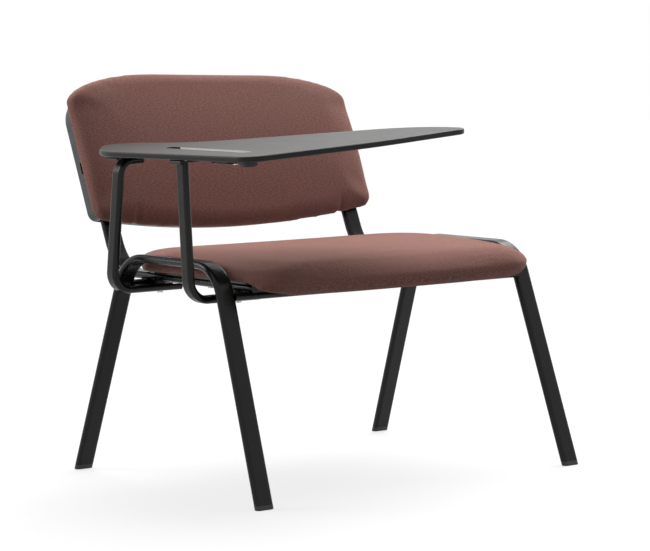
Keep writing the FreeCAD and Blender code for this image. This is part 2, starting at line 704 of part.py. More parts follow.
def back_section(u):
    """Profile of the back cushion at one place across it, in the back's frame."""
    half = worth(BACK_HALF)
    end = max(0.0, (abs(u) - half + size("back_corner")) / size("back_corner"))
    round_off = 1 - math.sqrt(max(0.0, 1 - end * end))
    low_end = max(0.0, (abs(u) - half + size("back_low_corner")) / size("back_low_corner"))
    low_round = 1 - math.sqrt(max(0.0, 1 - low_end * low_end))
    across = (u / half) ** 2
    top = size("back_top") - size("back_shoulder") * round_off
    low = (size("back_dip") + size("back_low_edge")) * across - size("back_dip")
    low += size("back_low_corner") * low_round
    side = max(0.0, (abs(u) - half + size("back_roll")) / size("back_roll"))
    side_roll = math.sqrt(max(0.0, 1 - side * side))
    edge = size("back_edge_thickness") * (SIDE_SHARE + (1 - SIDE_SHARE) * side_roll)
    crown_fall = across * (CROWN_FALL + CORNER_FALL * round_off)
    crown = edge + (size("back_thickness") - size("back_edge_thickness")) * (1 - crown_fall)
    roll = size("back_roll")
    draw_in = size("back_draw_in")

    def point(depth, rise):
        return FreeCAD.Vector(u, -depth, rise)

    rim = -size("back_rim")
    top_rim, low_rim = point(rim, top - draw_in), point(rim, low + draw_in)
    top_face, low_face = point(edge, top - roll), point(edge, low + roll)
    edges = [
        Part.Arc(top_rim, point(edge / 2, top), top_face).toShape(),
        Part.Arc(top_face, point(crown, (top + low) / 2), low_face).toShape(),
        Part.Arc(low_face, point(edge / 2, low), low_rim).toShape(),
        Part.LineSegment(low_rim, top_rim).toShape(),
    ]
    return Part.Wire(edges)


def padded_form(label, section, half, corner):
    """Loft a cushion through its profiles, closer together where the corners round off."""
    places = [step * (half - corner) for step in FLAT_STATIONS]
    places += [half - corner + corner * math.sin(math.radians(angle)) for angle in CORNER_STATIONS]
    stations = [-place for place in reversed(places[1:])] + places
    form = doc.addObject("Part::Feature", label)
    form.Shape = Part.makeLoft([section(station) for station in stations], True, False)
    return form


def cut_form(label, form, space):
    """Cut a space out of a form: the room for a board, or a hole."""
    cut = doc.addObject("Part::Cut", label)
    cut.Label = label
    cut.Base = form
    cut.Tool = space
    return cut


def back_outline(sketch, inset):
    """Outline of the back in its leaning plane, drawn in by an inset."""
    half = "(%s - (%s))" % (BACK_HALF, inset)
    top = "<back_top> - (%s)" % inset
    low = "<back_low_edge> + (%s)" % inset
    turn = "(%s - %g * <back_corner>)" % (half, CORNER_TURN)
    shoulder = "%s - %g * <back_shoulder>" % (top, CORNER_DROP)
    wide_round = "2 * <back_corner> - (%s)" % inset
    round_end = "<back_shoulder> - (%s)" % inset
    low_corner = "<back_low_corner> - (%s)" % inset
    dip_reach = "(%s - <back_dip_margin>)" % BACK_HALF
    dip_round = "%s * %s / (<back_low_edge> + <back_dip_point>)" % (dip_reach, BACK_HALF)
    draw_route(sketch, [("-" + turn, top, wide_round), ("-" + half, shoulder, round_end),
                        ("-" + half, low, low_corner),
                        ("0", "(%s) - <back_dip_point>" % inset, dip_round),
                        (half, low, low_corner), (half, shoulder, round_end), (turn, top, wide_round)])


def place_on_back(thing):
    """Put a sub-part in the back's leaning frame."""
    place(thing, "0", BACK_Y, BACK_Z, (1, 0, 0), "-<back_lean_angle>")


def back_board(label, grow="0"):
    """Plywood board that the uprights are bolted to."""
    body = new_body(label)
    outline = new_sketch(body, "outline", "XZ_Plane", "-%s - (%s)" % (BOARD_BACK, grow))
    back_outline(outline, "<back_board_inset> - (%s)" % grow)
    pad(body, outline, "<back_board_thickness> + 2 * (%s)" % grow)
    place_on_back(body)
    return body


def drill_back_board(board):
    """Holes in the back board for inserts and for the shell's screws."""
    inserts = [("%d * %s" % (side, RAIL_X), rise) for side in (-1, 1) for rise in BACK_BOLTS]
    drill(board, "insert_holes", "XZ_Plane", INSERT_HOLE, inserts)
    drill(board, "screw_holes", "XZ_Plane", SCREW_HOLE, SHELL_SCREWS)


def back_shell(label):
    """Moulded shell behind the back: hollow, with notches for the uprights, clips and screw bosses."""
    body = new_body(label)
    rim = "(<back_rim> + <cover_gap>)"
    inner = "(%s + <shell_depth> - <shell_wall>)" % rim
    outline = new_sketch(body, "outline", "XZ_Plane", "-" + rim)
    back_outline(outline, "<shell_inset>")
    block = pad(body, outline, "<shell_depth>", reverse=True)
    doc.recompute()
    rounded = body.newObject("PartDesign::Fillet", label + "_round")
    rear = block.Shape.BoundBox.YMax
    rounded.Base = (block, ["Edge%d" % (index + 1) for index, edge in enumerate(block.Shape.Edges)
                            if edge.BoundBox.YMin > rear - TOUCH])
    bind(rounded, "Radius", "<shell_round>")
    hollow = new_sketch(body, "hollow", "XZ_Plane", "-" + rim)
    back_outline(hollow, "<shell_inset> + <shell_wall>")
    cut_depth(body, hollow, "<shell_depth> - <shell_wall>")
    bosses = new_sketch(body, "bosses", "XZ_Plane", "-" + inner)
    for x, rise in SHELL_SCREWS:
        draw_circle(bosses, "<boss_radius>", x, rise)
    pad(body, bosses, "%s - %s" % (inner, BOARD_BACK))
    drill(body, "screw_holes", "XZ_Plane", SCREW_HOLE, SHELL_SCREWS)
    sinks = new_sketch(body, "screw_sinks", "XZ_Plane", "-%s - <shell_wall>" % inner)
    for x, rise in SHELL_SCREWS:
        draw_circle(sinks, "<screw_head_radius> + <bolt_clear>", x, rise)
    cut_depth(body, sinks, "<screw_head_height> + <bolt_clear>", reverse=True)
    notches = new_sketch(body, "upright_notches", "XZ_Plane", "-" + rim)
    reach = "(<tube_width> / 2 + <shell_notch_clear>)"
    drop = "-2 * <back_dip_point>"
    for side in (-1, 1):
        left = "%d * %s - %s" % (side, RAIL_X, reach)
        right = "%d * %s + %s" % (side, RAIL_X, reach)
        draw_route(notches, [(left, drop, None), (right, drop, None),
                             (right, "<shell_notch_height>", None), (left, "<shell_notch_height>", None)])
    cut_depth(body, notches, "<shell_depth> - <shell_wall>")
    clips = new_sketch(body, "clips", "XZ_Plane", "-" + rim)
    for side in (-1, 1):
        near = "%d * (%s - <shell_inset> - 2 * <shell_wall>)" % (side, BACK_HALF)
        far = "%d * (%s + <shell_wall>)" % (side, BACK_HALF)
        low = "<clip_height> - <clip_length> / 2"
        high = "<clip_height> + <clip_length> / 2"
        draw_route(clips, [(near, low, None), (far, low, None), (far, high, None), (near, high, None)])
    cut_depth(body, clips, "<clip_depth>")
    place_on_back(body)
    return body


def upright_post(label, top_route):
    """Tablet post as bent, before it leans: a foot under the seat, a bend and an upright."""
    body = new_body(label)
    section = tube_profile(body, "YZ_Plane", "<slim_width>", "<slim_depth>", "<post_foot_length>")
    route = new_sketch(body, "route", "XZ_Plane")
    foot = [("<post_foot_length>", "0", None), ("0", "0", "<post_low_bend>")]
    draw_route(route, foot + top_route, closed=False)
    pipe(body, section, route)
    return body


def leaning_post(label, form, y, lean):
    """Lean a bent post forward or back with its foot and top kept level, and drill its foot."""
    doc.recompute()
    shear = FreeCAD.Matrix()
    shear.A23 = -math.tan(math.radians(worth(lean)))
    leaned = doc.addObject("Part::Feature", label + "_leaned")
    leaned.Shape = form.Shape.transformGeometry(shear)
    place(leaned, "-" + POST_X, y, POST_Z)
    hole = doc.addObject("Part::Cylinder", label + "_bolt_hole")
    bind(hole, "Radius", BOLT_HOLE)
    bind(hole, "Height", "2 * <slim_depth>")
    place(hole, "-" + RAIL_X, y, "%s - <slim_depth>" % POST_Z)
    return cut_form(label, leaned, hole)


def rear_post(label):
    """The rear post turns in under the tablet at its top."""
    end = "%s + <post_top_length> * tan(%s)" % (TUBE_TOP, TILT)
    top_route = [("0", TUBE_TOP, "<post_top_bend>"), ("<post_top_length>", end, None)]
    form = upright_post(label + "_form", top_route)
    return leaning_post(label, form, POST_REAR_Y, "<post_rear_lean_angle>")


def front_post(label):
    """The front post runs straight up and is cut off under its hinge plate."""
    tall = "(%s + <slim_width>)" % PLATE_TOP
    form = upright_post(label + "_form", [("0", tall, None)])
    trim = new_sketch(form, "top_cut", "XZ_Plane")
    reach = "<slim_width>"
    slope = "%s * tan(%s)" % (reach, TILT)
    draw_route(trim, [("-" + reach, "%s - %s" % (PLATE_TOP, slope), None),
                      (reach, "%s + %s" % (PLATE_TOP, slope), None),
                      (reach, "2 * " + tall, None), ("-" + reach, "2 * " + tall, None)])
    cut_through(form, trim)
    return leaning_post(label, form, "-" + POST_FRONT_Y, "-<post_front_lean_angle>")


def place_on_tablet(thing, y="0"):
    """Put a sub-part in the tablet's tilted frame, at a place along the hinge line."""
    place(thing, "-" + HINGE_X, y, TABLET_UNDER, (0, 1, 0), "-<tablet_tilt_angle>")


def hinge_plate(label, y):
    """Steel plate on a post, with two eyes for the hinge pin at its outer end."""
    body = new_body(label)
    strap = new_sketch(body, "strap", "XZ_Plane")
    low = "-" + PLATE_UNDER
    high = "%s + <plate_thickness>" % low
    draw_route(strap, [("0", low, None), ("<plate_length>", low, None), ("<plate_length>", high, None),
                       ("0", high, None)])
    pad(body, strap, "<plate_width>", midplane=True)
    eye = new_sketch(body, "eye", "XZ_Plane")
    draw_circle(eye, "<eye_radius>", "0", "-<pin_drop>")
    pad(body, eye, "<plate_width>", midplane=True)
    gap = new_sketch(body, "eye_gap", "XY_Plane")
    wide = "<leaf_eye_width> / 2 + <eye_gap>"
    reach = "-2 * <eye_radius>"
    draw_route(gap, [(reach, "-(%s)" % wide, None), ("<eye_reach>", "-(%s)" % wide, None),
                     ("<eye_reach>", wide, None), (reach, wide, None)])
    cut_through(body, gap)
    drill(body, "pin_hole", "XZ_Plane", "<pin_radius> + <pin_fit>", [("0", "-<pin_drop>")])
    place_on_tablet(body, y)
    return body


def hinge_leaf(label, y):
    """Steel leaf screwed under the tablet, with one eye between the plate's two."""
    body = new_body(label)
    leaf = new_sketch(body, "leaf", "XY_Plane", "-<leaf_thickness>")
    wide = "<leaf_width> / 2"
    neck = "<leaf_eye_width> / 2"
    draw_route(leaf, [("0", "-" + neck, None), ("<eye_reach>", "-" + neck, None),
                      ("<eye_reach>", "-" + wide, None), ("<leaf_length>", "-" + wide, None),
                      ("<leaf_length>", wide, None), ("<eye_reach>", wide, None),
                      ("<eye_reach>", neck, None), ("0", neck, None)])
    pad(body, leaf, "<leaf_thickness>")
    eye = new_sketch(body, "eye", "XZ_Plane")
    draw_circle(eye, "<eye_radius>", "0", "-<pin_drop>")
    pad(body, eye, "<leaf_eye_width>", midplane=True)
    drill(body, "pin_hole", "XZ_Plane", "<pin_radius> + <pin_fit>", [("0", "-<pin_drop>")])
    drill(body, "screw_holes", "XY_Plane", SCREW_HOLE, LEAF_SCREWS)
    place_on_tablet(body, y)
    return body


def tablet(label):
    """Writing tablet: a rounded plan with a routed pen slot."""
    body = new_body(label)
    outline = new_sketch(body, "outline", "XY_Plane")
    names = ["<tablet_%s_" % corner for corner in TABLET_CORNERS]
    draw_route(outline, [(name + "x>", name + "y>", name + "radius>") for name in names])
    board = pad(body, outline, "<tablet_thickness>")
    doc.recompute()
    rounded = body.newObject("PartDesign::Fillet", label + "_round")
    level = board.Shape.BoundBox
    edges = []
    for index, edge in enumerate(board.Shape.Edges, start=1):
        if edge.BoundBox.ZMin > level.ZMax - TOUCH or edge.BoundBox.ZMax < level.ZMin + TOUCH:
            edges.append("Edge%d" % index)
    rounded.Base = (board, edges)
    bind(rounded, "Radius", "<tablet_edge_round>")
    slot = new_sketch(body, "pen_slot", "XY_Plane", "<tablet_thickness>")
    draw_oval(slot, "<slot_length>", "<slot_width>", "<slot_x>", "<slot_y>", tall=True)
    cut_depth(body, slot, "<slot_depth>")
    screws = new_sketch(body, "screw_holes", "XY_Plane")
    for y in (REAR_PLATE_Y, FRONT_PLATE_Y):
        for x, across in LEAF_SCREWS:
            draw_circle(screws, SCREW_HOLE, x, "%s + %s" % (y, across))
    for x, y in STAY_SCREWS:
        draw_circle(screws, SCREW_HOLE, x, y)
    draw_circle(screws, SCREW_HOLE, "<stay_x>", "<buffer_y>")
    cut_depth(body, screws, "<screw_bite>", reverse=True)
    place_on_tablet(body)
    return body


def tablet_stay(label):
    """Small steel plate under the tablet's front."""
    body = new_body(label)
    outline = new_sketch(body, "outline", "XY_Plane", "-<stay_thickness>")
    draw_oval(outline, "<stay_length>", "<stay_width>", "<stay_x>", "<stay_y>", tall=True)
    pad(body, outline, "<stay_thickness>")
    drill(body, "screw_holes", "XY_Plane", SCREW_HOLE, STAY_SCREWS)
    place_on_tablet(body)
    return body


def tablet_buffer(label):
    """Rubber buffer under the tablet, a turned dome with a sunk screw."""
    body = new_body(label)
    profile = new_sketch(body, "profile", "XZ_Plane")
    sunk = "<screw_head_radius> + <bolt_clear>"
    draw_route(profile, [(SCREW_HOLE, "0", None), ("<buffer_radius>", "0", None),
                         ("<buffer_radius>", "-<buffer_height>", "<buffer_round>"),
                         (sunk, "-<buffer_height>", None), (sunk, "-<stay_thickness>", None),
                         (SCREW_HOLE, "-<stay_thickness>", None)])
    turned = body.newObject("PartDesign::Revolution", label + "_turned")
    turned.Profile = profile
    turned.ReferenceAxis = (profile, ["V_Axis"])
    turned.Angle = 360
    profile.Visibility = False
    place(body, "<stay_x> * cos(%s) - %s" % (TILT, HINGE_X), "<buffer_y>",
          "%s + <stay_x> * sin(%s)" % (TABLET_UNDER, TILT), (0, 1, 0), "-<tablet_tilt_angle>")
    return body


def rest_pad(label, y):
    """Rubber pad on a hinge plate that the lowered tablet lies on."""
    pad_solid = doc.addObject("Part::Cylinder", label)
    pad_solid.Label = label
    bind(pad_solid, "Radius", "<rest_radius>")
    bind(pad_solid, "Height", "%s - <plate_thickness> - <rest_gap>" % PLATE_UNDER)
    along = "(<plate_length> - <rest_inset>)"
    deep = "(%s - <plate_thickness>)" % PLATE_UNDER
    x = "%s * cos(%s) + %s * sin(%s) - %s" % (along, TILT, deep, TILT, HINGE_X)
    z = "%s * sin(%s) - %s * cos(%s) + %s" % (along, TILT, deep, TILT, TABLET_UNDER)
    place(pad_solid, x, y, z, (0, 1, 0), "-<tablet_tilt_angle>")
    return pad_solid


def turned(radii_and_ends, bore=0.0):
    """Stack coaxial steps of (radius, from, to) along Z into one solid, with a bore if it has one."""
    steps = [Part.makeCylinder(radius, stop - start, FreeCAD.Vector(0, 0, start))
             for radius, start, stop in radii_and_ends]
    solid = steps[0]
    for step in steps[1:]:
        solid = solid.fuse(step)
    if bore:
        low = min(start for radius, start, stop in radii_and_ends)
        high = max(stop for radius, start, stop in radii_and_ends)
        solid = solid.cut(Part.makeCylinder(bore, high - low, FreeCAD.Vector(0, 0, low)))
    return solid.removeSplitter()


def group(label, solid, placements):
    """Repeat one fastener at each of its places, as separate solids of one sub-part."""
    copies = []
    for placement in placements:
        copy = solid.copy()
        copy.Placement = placement
        copies.append(copy)
    feature = doc.addObject("Part::Feature", label)
    feature.Label = label
    feature.Shape = Part.makeCompound(copies)
    return feature


def upward(x, y, z):
    """Place a fastener upright at a point given by expressions."""
    return FreeCAD.Placement(FreeCAD.Vector(worth(x), worth(y), worth(z)), FreeCAD.Rotation())


def on_back(x, depth, rise):
    """Place a fastener in the back's frame, pointing forward."""
    frame = FreeCAD.Placement(FreeCAD.Vector(0, worth(BACK_Y), worth(BACK_Z)),
                              FreeCAD.Rotation(FreeCAD.Vector(1, 0, 0), -size("back_lean_angle")))
    forward = FreeCAD.Rotation(FreeCAD.Vector(1, 0, 0), 90)
    return frame * FreeCAD.Placement(FreeCAD.Vector(worth(x), worth(depth), worth(rise)), forward)


def on_tablet(x, y, z):
    """Place a fastener in the tablet's frame, pointing up into it."""
    frame = FreeCAD.Placement(FreeCAD.Vector(-worth(HINGE_X), 0, worth(TABLET_UNDER)),
                              FreeCAD.Rotation(FreeCAD.Vector(0, 1, 0), -size("tablet_tilt_angle")))
    return frame * FreeCAD.Placement(FreeCAD.Vector(worth(x), worth(y), worth(z)), FreeCAD.Rotation())


def headed(shank, head, head_height, length):
    """A bolt or screw: its head below z = 0 and its shank above."""
    return turned([(shank, 0, length), (head, -head_height, 0)])


def frame_pieces():
    """Side frames, feet, cross tubes and rails."""
    made = []
    for name, side in (("right", -1), ("left", 1)):
        made.append(side_frame(name + "_side_frame", side))
        for place_name, end in (("front", -1), ("rear", 1)):
            made.append(foot_cap("%s_%s_foot" % (place_name, name), side, end))
        made.append(seat_rail(name + "_seat_rail", side))
        plug = tube_plug(name + "_rail_plug", "<tube_width>", "<tube_depth>")
        place(plug, "%d * %s" % (side, RAIL_X), "-" + RAIL_FRONT, RAIL_Z, (0, 0, 1), "-90")
        made.append(plug)
    made.append(cross_tube("front_cross_tube", -1))
    made.append(cross_tube("rear_cross_tube", 1))
    return made


def seat_pieces():
    """Seat board, cushion, bolts and inserts."""
    space = seat_board("seat_board_space", "<cover_gap>")
    board = seat_board("seat_board")
    drill_seat_board(board)
    form = padded_form("seat_cushion_form", seat_section, worth(SEAT_HALF), size("seat_corner"))
    cushion = cut_form("seat_cushion", form, space)
    bolt_length = size("tube_depth") + size("insert_length")
    bolt = headed(size("bolt_radius"), size("bolt_head_radius"), size("bolt_head_height"), bolt_length)
    sides = ("-" + RAIL_X, RAIL_X)
    bolts = group("seat_bolts", bolt, [upward(x, y, RAIL_UNDER) for x in sides for y in rail_bolts(1)])
    insert = turned([(size("insert_radius"), 0, size("insert_length"))], worth(BOLT_BORE))
    inserts = group("seat_inserts", insert, [upward("%d * %s" % (side, RAIL_X), y, SEAT_UNDER)
                                             for side in (-1, 1) for y in rail_bolts(side)])
    return [board, cushion, bolts, inserts]


def back_pieces():
    """Back board, cushion, shell, bolts, inserts and screws."""
    space = back_board("back_board_space", "<cover_gap>")
    board = back_board("back_board")
    drill_back_board(board)
    form = padded_form("back_cushion_form", back_section, worth(BACK_HALF), size("back_corner"))
    place_on_back(form)
    cushion = cut_form("back_cushion", form, space)
    shell = back_shell("back_shell")
    uprights = ("-" + RAIL_X, RAIL_X)
    bolt_length = size("tube_depth") + size("insert_length")
    bolt = headed(size("bolt_radius"), size("bolt_head_radius"), size("bolt_head_height"), bolt_length)
    bolts = group("back_bolts", bolt, [on_back(x, "%s + <tube_depth>" % BOARD_BACK, rise)
                                       for x in uprights for rise in BACK_BOLTS])
    insert = turned([(size("insert_radius"), 0, size("insert_length"))], worth(BOLT_BORE))
    inserts = group("back_inserts", insert, [on_back(x, BOARD_BACK, rise)
                                             for x in uprights for rise in BACK_BOLTS])
    seat = "<back_rim> + <cover_gap> + <shell_depth> - <screw_head_height> - <bolt_clear>"
    screw = headed(size("screw_radius"), size("screw_head_radius"), size("screw_head_height"),
                   worth("%s - (%s) + <screw_bite>" % (seat, BOARD_BACK)))
    screws = group("shell_screws", screw, [on_back(x, seat, rise) for x, rise in SHELL_SCREWS])
    return [board, cushion, shell, bolts, inserts, screws]


def post_pieces():
    """The tablet's two posts, their plugs, bolts and spacers."""
    rear = rear_post("rear_arm_post")
    front = front_post("front_arm_post")
    plugs = []
    for name, y in (("rear", POST_REAR_Y), ("front", "-" + POST_FRONT_Y)):
        plug = tube_plug(name + "_post_plug", "<slim_width>", "<slim_depth>", "<post_plug_fit>")
        place(plug, "<post_foot_length> - %s" % POST_X, y, POST_Z)
        plugs.append(plug)
    top_plug = tube_plug("rear_post_top_plug", "<slim_width>", "<slim_depth>", "<post_plug_fit>")
    rise = "(%s + <post_top_length> * tan(%s))" % (TUBE_TOP, TILT)
    place(top_plug, "<post_top_length> + <plug_fit> - %s" % POST_X,
          "%s - %s * tan(<post_rear_lean_angle> * 1deg)" % (POST_REAR_Y, rise),
          "%s + %s" % (POST_Z, rise), (0, 1, 0), "-<tablet_tilt_angle>")
    places = ("-" + POST_FRONT_Y, POST_REAR_Y)
    bolt_length = worth("<slim_depth> + <post_drop> + <tube_depth> + <insert_length>")
    bolt = headed(size("bolt_radius"), size("bolt_head_radius"), size("bolt_head_height"), bolt_length)
    foot_under = "%s - <slim_depth> / 2" % POST_Z
    foot_top = "%s + <slim_depth> / 2" % POST_Z
    bolts = group("post_bolts", bolt, [upward("-" + RAIL_X, y, foot_under) for y in places])
    spacer = turned([(size("spacer_radius"), 0, size("post_drop"))], worth(BOLT_HOLE))
    spacers = group("post_spacers", spacer, [upward("-" + RAIL_X, y, foot_top) for y in places])
    return [rear, front, top_plug, bolts, spacers] + plugs


def hinge_pin(label, y):
    """Riveted pin through the eyes of one hinge."""
    half = size("plate_width") / 2
    head = half + size("pin_head_height")
    pin = turned([(size("pin_radius"), -half, half), (size("pin_head_radius"), -head, -half),
                  (size("pin_head_radius"), half, head)])
    lying = FreeCAD.Placement(FreeCAD.Vector(), FreeCAD.Rotation(FreeCAD.Vector(1, 0, 0), -90))
    return group(label, pin, [on_tablet("0", y, "-<pin_drop>") * lying])


def tablet_pieces():
    """Tablet, its two hinges, rest pads, and the plate and buffer under its front."""
    made = [tablet("tablet"), tablet_stay("tablet_stay"), tablet_buffer("tablet_buffer")]
    for name, y in (("rear", REAR_PLATE_Y), ("front", FRONT_PLATE_Y)):
        made.append(hinge_plate(name + "_hinge_plate", y))
        made.append(hinge_leaf(name + "_hinge_leaf", y))
        made.append(hinge_pin(name + "_hinge_pin", y))
        made.append(rest_pad(name + "_tablet_rest", y))
    bite = size("screw_bite") - size("screw_end_gap")
    leaf_screw = headed(size("screw_radius"), size("screw_head_radius"), size("leaf_screw_head"),
                        size("leaf_thickness") + bite)
    made.append(group("leaf_screws", leaf_screw,
                      [on_tablet(x, "%s + %s" % (y, across), "-<leaf_thickness>")
                       for y in (REAR_PLATE_Y, FRONT_PLATE_Y) for x, across in LEAF_SCREWS]))
    stay_screw = headed(size("screw_radius"), size("screw_head_radius"), size("screw_head_height"),
                        size("stay_thickness") + bite)
    made.append(group("stay_screws", stay_screw, [on_tablet(x, y, "-<stay_thickness>")
                                                  for x, y in STAY_SCREWS + [("<stay_x>", "<buffer_y>")]]))
    return made


fill_sheet()
pieces = frame_pieces() + seat_pieces() + back_pieces() + post_pieces() + tablet_pieces()
doc.recompute()

os.makedirs("parts", exist_ok=True)
for thing in doc.Objects:
    if "Invalid" in thing.State or "Error" in thing.State:
        raise RuntimeError("%s did not build: %s" % (thing.Label, thing.State))
for piece in pieces:
    shape = piece.Shape
    if shape.isNull() or not shape.isValid() or not shape.Solids:
        raise RuntimeError("%s has no valid solid" % piece.Label)
for piece in pieces:
    piece.Shape.exportStep("parts/%s.step" % piece.Label)
    print("%-22s %2d solids %10.0f mm3" % (piece.Label, len(piece.Shape.Solids), piece.Shape.Volume))
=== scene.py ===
# %% [markdown]
# # A tablet arm chair
# A visitor chair of bent oval steel tube, with an upholstered seat and back and a writing tablet on
# two posts at the sitter's right. The tubes, boards, hinges and the tablet come from the CAD frame
# and only get their finishes here. The two cushions are soft, so they are made again as cloth that
# is blown up over the CAD forms, and the weld beads are added as small pieces.

import math

import bmesh
import bpy
import numpy as np
from mathutils import Matrix, Vector


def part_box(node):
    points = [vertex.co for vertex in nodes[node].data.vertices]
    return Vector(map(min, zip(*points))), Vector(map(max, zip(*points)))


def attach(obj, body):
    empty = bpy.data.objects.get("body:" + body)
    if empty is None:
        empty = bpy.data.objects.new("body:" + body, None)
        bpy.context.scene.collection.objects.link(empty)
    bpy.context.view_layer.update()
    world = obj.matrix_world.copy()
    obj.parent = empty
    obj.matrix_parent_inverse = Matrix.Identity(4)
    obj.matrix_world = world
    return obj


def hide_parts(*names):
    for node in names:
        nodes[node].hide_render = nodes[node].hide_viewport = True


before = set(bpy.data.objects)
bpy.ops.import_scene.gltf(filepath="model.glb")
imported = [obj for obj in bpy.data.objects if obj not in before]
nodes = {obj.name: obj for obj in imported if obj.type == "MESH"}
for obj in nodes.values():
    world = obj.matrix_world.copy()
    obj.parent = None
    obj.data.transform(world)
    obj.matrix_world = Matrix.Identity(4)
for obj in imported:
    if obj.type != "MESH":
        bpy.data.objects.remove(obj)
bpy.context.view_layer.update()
scene = bpy.context.scene
scene.view_settings.view_transform = "Standard"

# %% [markdown]
# ## The camera
# The photograph was taken with a long lens, a little above the seat and from the sitter's right
# front. The lens, place and roll below come from fitting a pinhole camera to the straight legs and
# to the four feet, which stand on one level and are symmetric. The picture is shifted by two pixels.

# %% Camera
WIDE = 650.0
FOCAL_PIXELS = 2671.8
SHIFT_PIXELS = -2.0
SENSOR = 36.0
AZIMUTH, ELEVATION, ROLL = (math.radians(angle) for angle in (-38.516, 5.368, -0.278))
AIM = Vector((0.0, 0.0032, 0.3933))
DISTANCE = 5.3858

away = Vector((math.sin(AZIMUTH) * math.cos(ELEVATION), -math.cos(AZIMUTH) * math.cos(ELEVATION),
               math.sin(ELEVATION)))
sideways = Vector((math.cos(AZIMUTH), math.sin(AZIMUTH), 0.0))
upward = away.cross(sideways)
right = sideways * math.cos(ROLL) + upward * math.sin(ROLL)
above = upward * math.cos(ROLL) - sideways * math.sin(ROLL)
lens = bpy.data.cameras.new("photo_camera")
lens.sensor_fit = "HORIZONTAL"
lens.sensor_width = SENSOR
lens.lens = FOCAL_PIXELS / WIDE * SENSOR
lens.shift_y = SHIFT_PIXELS / WIDE
lens.clip_end = 50.0
camera = bpy.data.objects.new("photo_camera", lens)
camera.matrix_world = Matrix((right, above, away)).transposed().to_4x4()
camera.location = AIM + away * DISTANCE
scene.collection.objects.link(camera)
scene.camera = camera
print("camera at", [round(value, 3) for value in camera.location], "lens", round(lens.lens, 1))

# %% [markdown]
# ## How the finishes are made
# Every finish is one Principled shader whose colour, roughness and bump are driven by small
# procedural patterns in metres. These helpers keep the node code short: one starts a finish, one
# adds a noise pattern, one turns a pattern into a range of values and one turns it into a bump.

# %% Helpers for finishes
def start_finish(name, colour, roughness):
    """A new material with a Principled shader, and the coordinate that its patterns read."""
    finish = bpy.data.materials.new(name)
    finish.use_nodes = True
    shader = finish.node_tree.nodes["Principled BSDF"]
    shader.inputs["Base Color"].default_value = (*colour, 1.0)
    shader.inputs["Roughness"].default_value = roughness
    coordinates = finish.node_tree.nodes.new("ShaderNodeTexCoord")
    return finish, finish.node_tree, shader, coordinates.outputs["Object"]


def noise(tree, coordinate, scale, detail=2.0):
    """A noise pattern; the scale counts features in a metre."""
    pattern = tree.nodes.new("ShaderNodeTexNoise")
    pattern.inputs["Scale"].default_value = scale
    pattern.inputs["Detail"].default_value = detail
    tree.links.new(coordinate, pattern.inputs["Vector"])
    return pattern.outputs["Fac"]


def spread(tree, pattern, low, high, start=0.3, stop=0.7):
    """Map a pattern to a range of values."""
    ranged = tree.nodes.new("ShaderNodeMapRange")
    ranged.inputs["From Min"].default_value = start
    ranged.inputs["From Max"].default_value = stop
    ranged.inputs["To Min"].default_value = low
    ranged.inputs["To Max"].default_value = high
    tree.links.new(pattern, ranged.inputs["Value"])
    return ranged.outputs["Result"]


def blend_colours(tree, pattern, first, second, start=0.35, stop=0.65):
    """Go from one colour to another with a pattern."""
    ramp = tree.nodes.new("ShaderNodeValToRGB")
    ramp.color_ramp.elements[0].position = start
    ramp.color_ramp.elements[0].color = (*first, 1.0)
    ramp.color_ramp.elements[1].position = stop
    ramp.color_ramp.elements[1].color = (*second, 1.0)
    tree.links.new(pattern, ramp.inputs["Fac"])
    return ramp.outputs["Color"]


def scale_colour(tree, colour, share):
    """A colour made darker or lighter by a share."""
    scaled = tree.nodes.new("ShaderNodeVectorMath")
    scaled.operation = "SCALE"
    tree.links.new(colour, scaled.inputs[0])
    tree.links.new(share, scaled.inputs["Scale"])
    return scaled.outputs["Vector"]


def calculate(tree, operation, first, second=0.0):
    """A step of arithmetic on two values; each is a number or comes from another node."""
    step = tree.nodes.new("ShaderNodeMath")
    step.operation = operation
    for socket, value in zip(step.inputs, (first, second)):
        if isinstance(value, float):
            socket.default_value = value
        else:
            tree.links.new(value, socket)
    return step.outputs["Value"]


def emboss(tree, shader, pattern, depth, strength=1.0, before=None):
    """Bump the surface by a pattern; the depth is in metres. A second bump goes over the first."""
    bump = tree.nodes.new("ShaderNodeBump")
    bump.inputs["Distance"].default_value = depth
    bump.inputs["Strength"].default_value = strength
    tree.links.new(pattern, bump.inputs["Height"])
    if before is not None:
        tree.links.new(before, bump.inputs["Normal"])
    tree.links.new(bump.outputs["Normal"], shader.inputs["Normal"])
    return bump.outputs["Normal"]


def dress(finish, *names):
    """Give a finish to CAD nodes."""
    for name in names:
        slots = nodes[name].data.materials
        slots.clear()
        slots.append(finish)
    print(finish.name, "on", len(names), "nodes")


# %% [markdown]
# ## Black tubes
# The tubes have a satin powder coat. It is not flat: the coat has a faint orange-peel ripple, and
# its gloss wanders a little along the tube. The ripple is what breaks up the long highlights.

# %% Powder coat
def powder_coat(name, colour, dull, bright):
    finish, tree, shader, place = start_finish(name, colour, 0.4)
    shader.inputs["Specular IOR Level"].default_value = 0.22
    lighter = [channel * 1.35 for channel in colour]
    cloudy = blend_colours(tree, noise(tree, place, 14.0), colour, lighter)
    tree.links.new(cloudy, shader.inputs["Base Color"])
    tree.links.new(spread(tree, noise(tree, place, 35.0), bright, dull), shader.inputs["Roughness"])
    ripple = emboss(tree, shader, noise(tree, place, 420.0), 0.00006)
    emboss(tree, shader, noise(tree, place, 1900.0, 1.0), 0.00002, before=ripple)
    return finish


